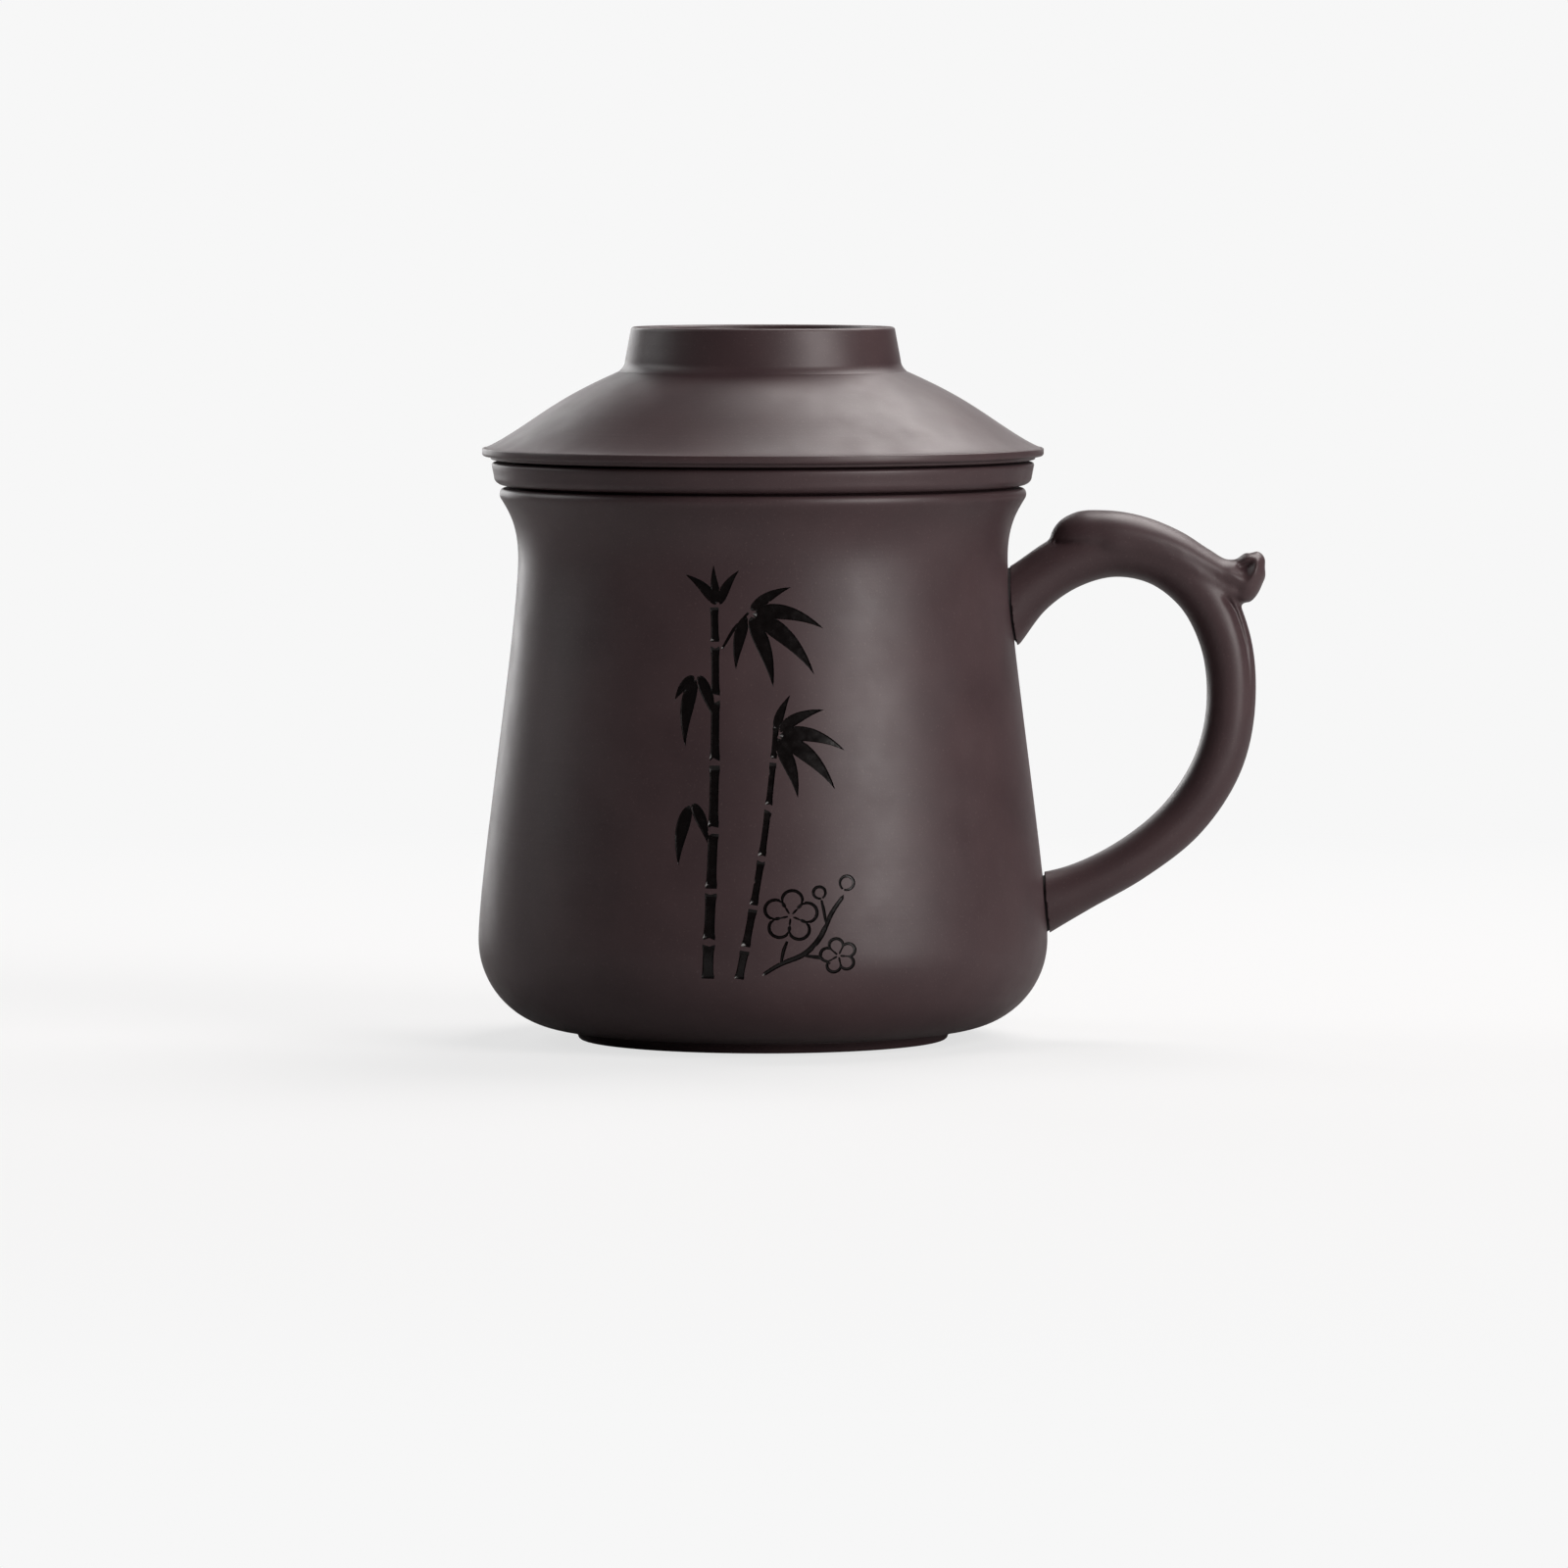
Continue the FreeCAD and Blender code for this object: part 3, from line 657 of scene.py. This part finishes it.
def shade_strokes(mesh, first_panel_face, floor_points, normals):
    """Ink the strokes, keep their edges sharp, and give the surface round them the wall's own normals."""
    work = bmesh.new()
    work.from_mesh(mesh)
    normal_of = {vertex: normals[vertex.index] for vertex in work.verts if vertex.index in normals}
    loose = [vertex for vertex in work.verts if not vertex.link_faces]
    kind = work.faces.layers.int.new("stroke_part")
    work.faces.ensure_lookup_table()
    for face in work.faces[first_panel_face:]:
        deep = sum(vertex.index in floor_points for vertex in face.verts)
        face[kind] = 2 if deep == len(face.verts) else min(deep, 1)
        face.material_index = 1 if deep else 0
    bmesh.ops.recalc_face_normals(work, faces=work.faces)
    bmesh.ops.delete(work, geom=loose, context="VERTS")
    for edge in work.edges:
        kinds = {face[kind] for face in edge.link_faces}
        edge.smooth = len(kinds) == 1
    corner_normals = []
    for face in work.faces:
        for vertex in face.verts:
            known = face[kind] != 1 and vertex in normal_of
            corner_normals.append(normal_of[vertex] if known else Vector())
    work.to_mesh(mesh)
    work.free()
    mesh.normals_split_custom_set(corner_normals)


def make_mug_wall():
    """The mug's body with the ornament carved into its front and inked."""
    points, faces, *panel = carved_wall(mug_outline())
    mesh = smooth_mesh("mug_wall", points, faces)
    piece = new_object("mug_wall", mesh)
    give(piece, turned_clay, black_ink)
    shade_strokes(mesh, *panel)
    stands_for(piece, "mug", "mug_body")


def make_foot():
    """The ring that the mug stands on."""
    outer, inner, rounding = 33.1, 28.5, 0.6
    outline = Outline(inner, 0)
    outline.line(outer - rounding, 0)
    outline.bend((outer, 0), (outer, rounding), 6)
    outline.line(FOOT_TOP_RADIUS, FOOT_HEIGHT, 3)
    outline.line(inner - rounding, FOOT_HEIGHT)
    outline.line(inner - rounding, rounding)
    outline.bend((inner - rounding, 0), (inner, 0), 6)
    outline.points.pop()
    return turned_piece("foot_turned", outline, "mug", "foot_ring")


CUP_GAP = 0.8
CUP_RADIUS = WAIST_RADIUS - WALL - CUP_GAP
CUP_WALL = 3.0
CUP_TAPER = 6.3
RIM_ROUNDING = 0.8
SIEVE_THICKNESS = 3.0
CUP_BORE = CUP_RADIUS - CUP_WALL
BORE_STRAIGHT = 5.5  # how far the bore goes straight down from the mug's rim
RING_WALL = 3.0


def make_infuser():
    """The infuser's cup with the flange that hangs on the mug's rim, on a land inside an open slot."""
    land, slot_end, rounding, lean, corner = 44.8, 46.0, 2.0, 0.4, 1.6
    bottom = CUP_RADIUS - CUP_TAPER
    side = FLANGE_RADIUS - lean
    outline = Outline(bottom - CUP_WALL, CUP_BOTTOM)
    outline.line(bottom - corner, CUP_BOTTOM)
    outline.bend((bottom, CUP_BOTTOM), (bottom, CUP_BOTTOM + corner), 6)
    outline.line(CUP_RADIUS, RIM_HEIGHT - EDGE, 12)
    outline.bend((CUP_RADIUS, RIM_HEIGHT), (CUP_RADIUS + EDGE, RIM_HEIGHT), 4)
    outline.line(land, RIM_HEIGHT)
    outline.line(land + SEAT_GAP / 2, RIM_HEIGHT + SEAT_GAP)
    outline.line(slot_end, RIM_HEIGHT + SEAT_GAP)
    outline.bend((side, RIM_HEIGHT + SEAT_GAP), (side, RIM_HEIGHT + rounding), 10)
    outline.line(FLANGE_RADIUS, FLANGE_TOP - EDGE, 3)
    outline.bend((FLANGE_RADIUS, FLANGE_TOP), (FLANGE_RADIUS - EDGE, FLANGE_TOP), 6)
    outline.line(CUP_BORE + RIM_ROUNDING, FLANGE_TOP)
    outline.bend((CUP_BORE, FLANGE_TOP), (CUP_BORE, FLANGE_TOP - RIM_ROUNDING), 6)
    outline.line(CUP_BORE, RIM_HEIGHT - BORE_STRAIGHT)
    outline.line(bottom - CUP_WALL, CUP_BOTTOM + SIEVE_THICKNESS, 12)
    return turned_piece("infuser_turned", outline, "infuser", "infuser_cup")


def make_lid():
    """The lid's shell: flared edge, ogee, flat top under the knob, and hollow underside."""
    seat_radius, step_radius, step, edge_thickness = 45.6, 48.6, 1.1, 1.5
    turn_radius, turn = 40.7, FLANGE_TOP + 7.9
    edge_ease, edge_slope, turn_slope, flare_ease, dome_ease = 2.6, 0.27, 0.68, 3.0, 5.4
    top_radius, top_ease, shell = KNOB_FOOT_RADIUS, 6.6, 4.0
    bore = RING_RADIUS - RING_WALL
    ceiling, ceiling_radius = LID_TOP - shell, top_radius - shell
    low, high = FLANGE_TOP + step, FLANGE_TOP + step + edge_thickness
    outline = Outline(bore, FLANGE_TOP)
    outline.line(seat_radius, FLANGE_TOP)
    outline.line(seat_radius + SEAT_GAP / 2, FLANGE_TOP + SEAT_GAP)
    outline.line(step_radius - SMALL_EDGE, FLANGE_TOP + SEAT_GAP)
    outline.bend((step_radius, FLANGE_TOP + SEAT_GAP), (step_radius, FLANGE_TOP + SEAT_GAP + SMALL_EDGE), 5)
    outline.line(step_radius, low)
    outline.line(LID_RADIUS - EDGE, low)
    outline.bend((LID_RADIUS, low), (LID_RADIUS, low + EDGE), 6)
    outline.line(LID_RADIUS, high - SMALL_EDGE)
    outline.bend((LID_RADIUS, high), (LID_RADIUS - EDGE, high), 5)
    outline.curve((LID_RADIUS - edge_ease, high + edge_ease * edge_slope),
                  (turn_radius + flare_ease, turn - flare_ease * turn_slope), (turn_radius, turn), 18)
    outline.curve((turn_radius - dome_ease, turn + dome_ease * turn_slope),
                  (top_radius + top_ease, LID_TOP - top_ease * LID_TOP_SLOPE), (top_radius, LID_TOP), 24)
    outline.line(0, LID_TOP)
    outline.line(0, ceiling)
    outline.line(ceiling_radius, ceiling)
    outline.curve((ceiling_radius + top_ease, ceiling - top_ease * LID_TOP_SLOPE), (bore, turn),
                  (bore, turn - shell / 2), 14)
    return turned_piece("lid_turned", outline, "lid", "lid_dome")


def make_locating_ring():
    """The ring under the lid that sits in the infuser's mouth."""
    bore = RING_RADIUS - RING_WALL
    outline = Outline(bore + RIM_ROUNDING, RING_LOW)
    outline.line(RING_RADIUS - RIM_ROUNDING, RING_LOW)
    outline.bend((RING_RADIUS, RING_LOW), (RING_RADIUS, RING_LOW + RIM_ROUNDING), 6)
    outline.line(RING_RADIUS, FLANGE_TOP)
    outline.line(bore, FLANGE_TOP)
    outline.line(bore, RING_LOW + RIM_ROUNDING)
    outline.bend((bore, RING_LOW), (bore + RIM_ROUNDING, RING_LOW), 6)
    outline.points.pop()
    return turned_piece("locating_ring_turned", outline, "lid", "lid_locating_ring")


def make_knob():
    """The hollow ring knob, with a small cove where it meets the lid."""
    base, outer, wall, rounding, foot, spread, sink = 24.6, 23.6, 3.9, 0.6, 1.8, 1.5, 0.15
    inner = outer - wall
    toe = LID_TOP - spread * LID_TOP_SLOPE - sink
    outline = Outline(inner, LID_TOP)
    outline.line(KNOB_FOOT_RADIUS, LID_TOP)
    outline.line(KNOB_FOOT_RADIUS + spread, toe)
    outline.bend((base, LID_TOP), (base, LID_TOP + foot), 10)
    outline.line(outer, KNOB_TOP - rounding, 6)
    outline.bend((outer, KNOB_TOP), (outer - rounding, KNOB_TOP), 6)
    outline.line(inner + rounding, KNOB_TOP)
    outline.bend((inner, KNOB_TOP), (inner, KNOB_TOP - rounding), 6)
    return turned_piece("knob_turned", outline, "lid", "lid_knob_ring")


# The handle, lofted through stations: centre across and up, depth in the bow's plane, width.

BOW_SHARE = 0.54151  # share of the way from the belly up to the rim where the middle of the bow is
HANDLE_HEIGHT = BELLY_HEIGHT + (RIM_HEIGHT - BELLY_HEIGHT) * BOW_SHARE

BOW = [
    (41.2, 13.7, 13.4, 12.6),
    (47.4, 19.1, 10.1, 11.8),
    (53.6, 23.4, 9.9, 11.6),
    (63.2, 26.5, 10.9, 11.6),
    (71.2, 24.5, 10.2, 11.4),
    (78.0, 19.1, 9.8, 11.2),
    (82.4, 10.4, 9.2, 11.0),
    (83.7, 0.0, 8.8, 11.0),
    (81.7, -11.3, 8.8, 10.8),
    (75.3, -21.8, 8.5, 10.6),
    (66.1, -29.4, 8.1, 10.6),
    (56.6, -34.5, 8.7, 10.8),
    (45.6, -38.9, 12.6, 12.2),
]

THUMB_REST = [
    (51.5, 26.9, 1.4, 2.6),
    (52.4, 27.4, 3.8, 6.0),
    (53.9, 28.0, 6.4, 9.0),
    (56.2, 28.5, 8.2, 11.2),
    (60.4, 28.7, 8.6, 12.4),
    (67.0, 27.7, 8.6, 12.4),
    (73.2, 25.9, 7.2, 11.6),
    (78.2, 23.4, 6.0, 10.6),
    (81.8, 21.6, 5.6, 9.8),
    (84.4, 21.0, 6.3, 9.5),
    (86.2, 21.1, 5.4, 8.8),
    (87.4, 21.2, 3.0, 5.4),
    (88.0, 21.2, 0.8, 1.4),
]

# The upright spur, from its heel on the bow to its tip.
SPUR = [
    (84.6, 16.6, 1.6, 4.0),
    (84.9, 17.3, 3.4, 6.6),
    (85.5, 18.2, 4.8, 7.8),
    (86.0, 19.4, 5.6, 8.8),
    (86.4, 20.8, 6.0, 9.2),
    (86.9, 22.3, 6.2, 9.1),
    (87.6, 23.7, 4.9, 7.8),
    (88.2, 24.6, 3.4, 5.6),
    (88.4, 25.2, 2.0, 3.4),
    (88.5, 25.6, 0.7, 1.2),
]

# What fills the crease between the two, from behind the nose to the spur's stem.
FILLING = [
    (56.6, 26.7, 5.4, 8.2),
    (60.4, 27.4, 8.2, 12.0),
    (67.0, 26.9, 8.4, 12.2),
    (73.2, 24.6, 8.0, 11.9),
    (76.4, 22.7, 7.0, 11.5),
    (78.8, 21.2, 6.2, 10.9),
    (80.8, 20.1, 5.2, 10.0),
    (82.4, 19.2, 4.4, 9.2),
    (84.0, 18.6, 3.8, 8.4),
    (85.4, 18.3, 2.6, 6.2),
    (86.2, 18.2, 1.0, 2.4),
]

# Each limb's name, stations and how many rows it is lofted through.
LIMBS = [("bow", BOW, 150), ("rest", THUMB_REST, 90), ("fill", FILLING, 60), ("spur", SPUR, 60)]
HANDLE_VOXEL = 0.00035  # metres
HANDLE_SIDES = 48
SEAM = 0.45  # thickness of the slip under the handle's roots


def through(stations, count):
    """Stations made denser along a smooth line through them."""
    stations = np.array(stations, float)
    steps = np.linalg.norm(np.diff(stations[:, :2], axis=0), axis=1)
    along = np.concatenate(([0], np.cumsum(steps)))
    slopes = np.gradient(stations, along, axis=0)
    rows = []
    for place in np.linspace(0, along[-1], count):
        i = min(np.searchsorted(along, place, side="right") - 1, len(along) - 2)
        gap = along[i + 1] - along[i]
        t = (place - along[i]) / gap
        rows.append(
            (2 * t ** 3 - 3 * t ** 2 + 1) * stations[i] + (t ** 3 - 2 * t ** 2 + t) * gap * slopes[i]
            + (3 * t ** 2 - 2 * t ** 3) * stations[i + 1] + (t ** 3 - t ** 2) * gap * slopes[i + 1])
    return np.array(rows)


def limb_mesh(name, stations, count):
    """A closed limb through stations, with an oval section square to its line."""
    rows = through(stations, count)
    way = np.gradient(rows[:, :2], axis=0)
    way /= np.linalg.norm(way, axis=1)[:, None]
    points, faces = [], []
    for (across, up, depth, width), (wx, wz) in zip(rows, way):
        for side in range(HANDLE_SIDES):
            angle = 2 * math.pi * side / HANDLE_SIDES
            out, sideways = math.cos(angle) * depth / 2, math.sin(angle) * width / 2
            points.append((across - wz * out, sideways, HANDLE_HEIGHT + up + wx * out))
    for row in range(count - 1):
        for side in range(HANDLE_SIDES):
            after = (side + 1) % HANDLE_SIDES
            a, b = row * HANDLE_SIDES, (row + 1) * HANDLE_SIDES
            faces.append((a + side, a + after, b + after, b + side))
    faces.append(tuple(range(HANDLE_SIDES)))
    faces.append(tuple(range(len(points) - 1, len(points) - 1 - HANDLE_SIDES, -1)))
    mesh = smooth_mesh(name, points, faces)
    face_outwards(mesh)
    return mesh


def apply_modifiers(piece):
    """Replace a piece's mesh by what its modifiers make of it."""
    bpy.context.view_layer.update()
    seen = piece.evaluated_get(bpy.context.evaluated_depsgraph_get())
    made = bpy.data.meshes.new_from_object(seen)
    piece.modifiers.clear()
    piece.data = made


# Lines on both sides of the handle, as (across, up from the bow's middle) in millimetres.
SPUR_CREASE = [(81.9, 18.2), (82.6, 17.3), (83.5, 16.2), (84.3, 14.8), (85.2, 12.2), (86.1, 8.8),
               (86.6, 5.0), (86.8, 1.0), (86.4, -4.0)]
NOSE_CREASE = [(51.8, 27.5), (52.8, 27.35), (54.2, 27.3), (55.8, 27.4), (58.0, 27.8)]
SPUR_RIDGE = [(88.3, 26.4), (88.25, 24.6), (88.1, 23.0), (87.4, 21.4), (86.4, 19.9), (85.4, 18.8)]


# Depth and half width of what is pressed along them.
SPUR_CREASE_SIZE = (1.5, 0.55)
NOSE_CREASE_SIZE = (0.9, 0.36)
SPUR_RIDGE_SIZE = (0.4, 0.4)
SPUR_SCOOP_DEPTH = 1.7
UNPRESSED_HALF = 1.2  # the pressing fades out this near to the handle's middle plane


def along_path(places, path):
    """How far each place is from a path, its share of the way along it, and which side it is on."""
    path = np.array(path, float)
    best = np.full(len(places), np.inf)
    share = np.zeros(len(places))
    side = np.zeros(len(places))
    for number, (start, end) in enumerate(zip(path[:-1], path[1:])):
        way = end - start
        off = places - start
        t = np.clip((off @ way) / (way @ way), 0, 1)
        gap = np.linalg.norm(off - t[:, None] * way, axis=1)
        nearer = gap < best
        best[nearer] = gap[nearer]
        share[nearer] = ((number + t) / (len(path) - 1))[nearer]
        side[nearer] = np.sign(way[0] * off[:, 1] - way[1] * off[:, 0])[nearer]
    return best, share, side


def ease(value, low, high):
    """A smooth step from 0 at a low value to 1 at a high one."""
    t = np.clip((value - low) / (high - low), 0, 1)
    return t * t * (3 - 2 * t)


def groove(gap, size):
    """How deep a groove of a depth and half width is at a distance from its line."""
    depth, half = size
    return depth * np.exp(-(gap / half) ** 2)


def press_handle(mesh):
    """Press the creases and the spur's hollow into both sides of the handle."""
    count = len(mesh.vertices)
    flat = np.empty(count * 3)
    mesh.vertices.foreach_get("co", flat)
    places = flat.reshape(-1, 3) / MM
    plane = np.column_stack((places[:, 0], places[:, 2] - HANDLE_HEIGHT))
    inward = np.zeros(count)
    gap, share, _ = along_path(plane, SPUR_CREASE)
    inward += groove(gap, SPUR_CREASE_SIZE) * ease(share, 0, 0.25) * (1 - share) ** 0.6
    gap, share, _ = along_path(plane, NOSE_CREASE)
    inward += groove(gap, NOSE_CREASE_SIZE) * ease(share, 0, 0.1) * (1 - share)
    # The spur is scooped out on the inner side of its ridge, and not near its top edge.
    gap, share, side = along_path(plane, SPUR_RIDGE)
    below_edge = 24.3 + 0.32 * (plane[:, 0] - 84.2) - plane[:, 1]
    scoop = ease(gap, 0.1, 1.9) * (1 - ease(gap, 2.3, 4.6)) * ease(below_edge, 0.3, 1.9)
    inward += SPUR_SCOOP_DEPTH * scoop * (side < 0) * (1 - ease(share, 0.5, 0.85))
    ridge = groove(gap, SPUR_RIDGE_SIZE)
    inward -= ridge * (1 - ease(share, 0.5, 0.8)) * ease(below_edge, 0.3, 1.9)
    places[:, 1] -= np.sign(places[:, 1]) * inward * np.clip(np.abs(places[:, 1]) / UNPRESSED_HALF, 0, 1)
    mesh.vertices.foreach_set("co", (places * MM).ravel())
    mesh.update()


def joined_limbs(name):
    """All the limbs of the handle in one mesh, not yet one skin."""
    work = bmesh.new()
    for limb, stations, count in LIMBS:
        work.from_mesh(limb_mesh(limb, stations, count))
    whole = bpy.data.meshes.new(name)
    work.to_mesh(whole)
    work.free()
    return whole


def skin_over(piece):
    """Give joined limbs one soft skin."""
    remesh = piece.modifiers.new("one_skin", "REMESH")
    remesh.mode = "VOXEL"
    remesh.voxel_size = HANDLE_VOXEL
    remesh.use_smooth_shade = True
    soften = piece.modifiers.new("soften", "SMOOTH")
    soften.factor = 0.5
    soften.iterations = 14
    apply_modifiers(piece)


def cut_to_wall(piece):
    """Cut a piece to the mug's wall, with room for the seam of slip."""
    grown = outside_to_waist(SEAM)
    grown.line(0, WAIST_HEIGHT)
    points, _, faces = turned_grid(grown.points)
    lump_mesh = smooth_mesh("wall_lump", points, faces)
    face_outwards(lump_mesh)
    lump = new_object("wall_lump", lump_mesh)
    cut = piece.modifiers.new("fit", "BOOLEAN")
    cut.operation = "DIFFERENCE"
    cut.solver = "EXACT"
    cut.object = lump
    apply_modifiers(piece)
    bpy.data.objects.remove(lump)


def make_handle():
    """The handle: bow, thumb rest and spur in one soft form, creased and cut to the wall."""
    piece = new_object("handle_clay", joined_limbs("handle_clay"))
    skin_over(piece)
    press_handle(piece.data)
    cut_to_wall(piece)
    give(piece, pressed_clay)
    stands_for(piece, "mug", "handle")


# Stage, lights and camera

PALE = 0.93  # what the camera sees of the floor's far parts and of the background
FLOOR_NEAR, FLOOR_FAR = 0.12, 0.55  # the floor's own shade fades into that between these distances
FLOOR_SHADE, FLOOR_GLOW = 0.22, 0.70  # the part of its level that takes the shadow, and the even part
FLOOR_BOUNCE = 0.40  # the floor's grey as the object sees it
FLOOR_HALF = 6.0
SURROUND = 0.08  # strength of the even surround


def plain_light(tree, strength):
    """An even white emission."""
    glow = tree.nodes.new("ShaderNodeEmission")
    glow.inputs["Strength"].default_value = strength
    return glow.outputs[0]


def matt(tree, level):
    """A plain grey that scatters light."""
    node = tree.nodes.new("ShaderNodeBsdfDiffuse")
    node.inputs["Color"].default_value = (level, level, level, 1)
    return node.outputs[0]


def mix_shaders(tree, factor, first, second):
    """Two shaders mixed by a factor."""
    node = tree.nodes.new("ShaderNodeMixShader")
    tree.links.new(factor, node.inputs[0])
    tree.links.new(first, node.inputs[1])
    tree.links.new(second, node.inputs[2])
    return node.outputs[0]


def make_stage():
    """A pale floor that takes the object's shadow and fades into the background further off."""
    material = bpy.data.materials.new("stage_pale")
    material.use_nodes = True
    tree = material.node_tree
    tree.nodes.clear()
    output = tree.nodes.new("ShaderNodeOutputMaterial")
    lit = tree.nodes.new("ShaderNodeAddShader")
    tree.links.new(matt(tree, FLOOR_SHADE), lit.inputs[0])
    tree.links.new(plain_light(tree, FLOOR_GLOW), lit.inputs[1])
    place = tree.nodes.new("ShaderNodeTexCoord").outputs["Object"]
    length = tree.nodes.new("ShaderNodeVectorMath")
    length.operation = "LENGTH"
    tree.links.new(place, length.inputs[0])
    away = remap(tree, length.outputs["Value"], FLOOR_NEAR, FLOOR_FAR, 0, 1)
    seen = mix_shaders(tree, away, lit.outputs[0], plain_light(tree, PALE))
    path = tree.nodes.new("ShaderNodeLightPath")
    whole = mix_shaders(tree, path.outputs["Is Camera Ray"], matt(tree, FLOOR_BOUNCE), seen)
    tree.links.new(whole, output.inputs["Surface"])
    mesh = bpy.data.meshes.new("floor")
    corners = [(x * FLOOR_HALF, y * FLOOR_HALF, 0) for x, y in ((-1, -1), (1, -1), (1, 1), (-1, 1))]
    mesh.from_pydata(corners, [], [(0, 1, 2, 3)])
    floor = new_object("floor", mesh)
    floor.data.materials.append(material)


WARM = (1.0, 0.955, 0.94)
PLAIN = (1.0, 1.0, 1.0)
LIT_MIDDLE = (0, 0, 0.07)

# Each lamp's name, place, size, power and colour: two soft boxes whose light the clay mirrors at the
# right, and four weaker ones at the left and behind that draw the edges.
LAMPS = [
    ("right_box", (1.15, -1.0, 0.62), (0.75, 1.2), 21.5, WARM),
    ("top_box", (0.5, 0.65, 1.2), (1.0, 0.9), 17, WARM),
    ("left_strip", (-0.62, 1.15, 0.2), (0.35, 0.9), 5, PLAIN),
    ("left_fill", (-1.25, 0.45, 0.75), (0.6, 0.9), 5, PLAIN),
    ("back_glow", (0, 1.9, 0.4), (1.9, 0.7), 4, PLAIN),
    ("back_left", (-0.55, 1.45, 0.85), (0.7, 0.5), 2.4, PLAIN),
]


def area_light(name, place, size, power, colour):
    """A soft rectangular lamp that faces the object and isn't seen itself."""
    lamp = bpy.data.lights.new(name, "AREA")
    lamp.shape = "RECTANGLE"
    lamp.size, lamp.size_y = size
    lamp.energy = power
    lamp.color = colour
    holder = bpy.data.objects.new(name, lamp)
    holder.location = place
    holder.rotation_euler = (Vector(LIT_MIDDLE) - Vector(place)).to_track_quat("-Z", "Y").to_euler()
    holder.visible_camera = False
    bpy.context.scene.collection.objects.link(holder)


def make_world():
    """A dim even surround, which the camera sees as a pale background."""
    world = bpy.data.worlds.new("even")
    bpy.context.scene.world = world
    world.use_nodes = True
    tree = world.node_tree
    tree.nodes.clear()
    output = tree.nodes.new("ShaderNodeOutputWorld")
    dim = tree.nodes.new("ShaderNodeBackground")
    dim.inputs["Strength"].default_value = SURROUND
    pale = tree.nodes.new("ShaderNodeBackground")
    pale.inputs["Color"].default_value = (PALE, PALE, PALE, 1)
    path = tree.nodes.new("ShaderNodeLightPath")
    shown = mix_shaders(tree, path.outputs["Is Camera Ray"], dim.outputs[0], pale.outputs[0])
    tree.links.new(shown, output.inputs["Surface"])


CAMERA_PLACE = (0.00376, -1.85, 0.161)
CAMERA_TARGET = (0.00376, 0, 0.0455)
CAMERA_LENS, CAMERA_SENSOR = 238.0, 36.0


def make_camera():
    """The photograph's view: nearly level, from far off, with the handle at the right."""
    data = bpy.data.cameras.new("view")
    data.sensor_width = CAMERA_SENSOR
    data.lens = CAMERA_LENS
    holder = bpy.data.objects.new("view", data)
    holder.location = CAMERA_PLACE
    holder.rotation_euler = (Vector(CAMERA_TARGET) - holder.location).to_track_quat("-Z", "Y").to_euler()
    bpy.context.scene.collection.objects.link(holder)
    bpy.context.scene.camera = holder


bpy.context.scene.view_settings.view_transform = "Standard"
make_camera()
make_world()
for lamp in LAMPS:
    area_light(*lamp)
make_stage()

turned = [make_foot(), make_infuser(), make_lid(), make_locating_ring(), make_knob()]
for piece in turned:
    give(piece, turned_clay)
make_mug_wall()
make_handle()
give(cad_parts["infuser_sieve"], turned_clay)
for node in ("upper_handle_slip", "lower_handle_slip"):
    give(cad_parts[node], seam_slip)
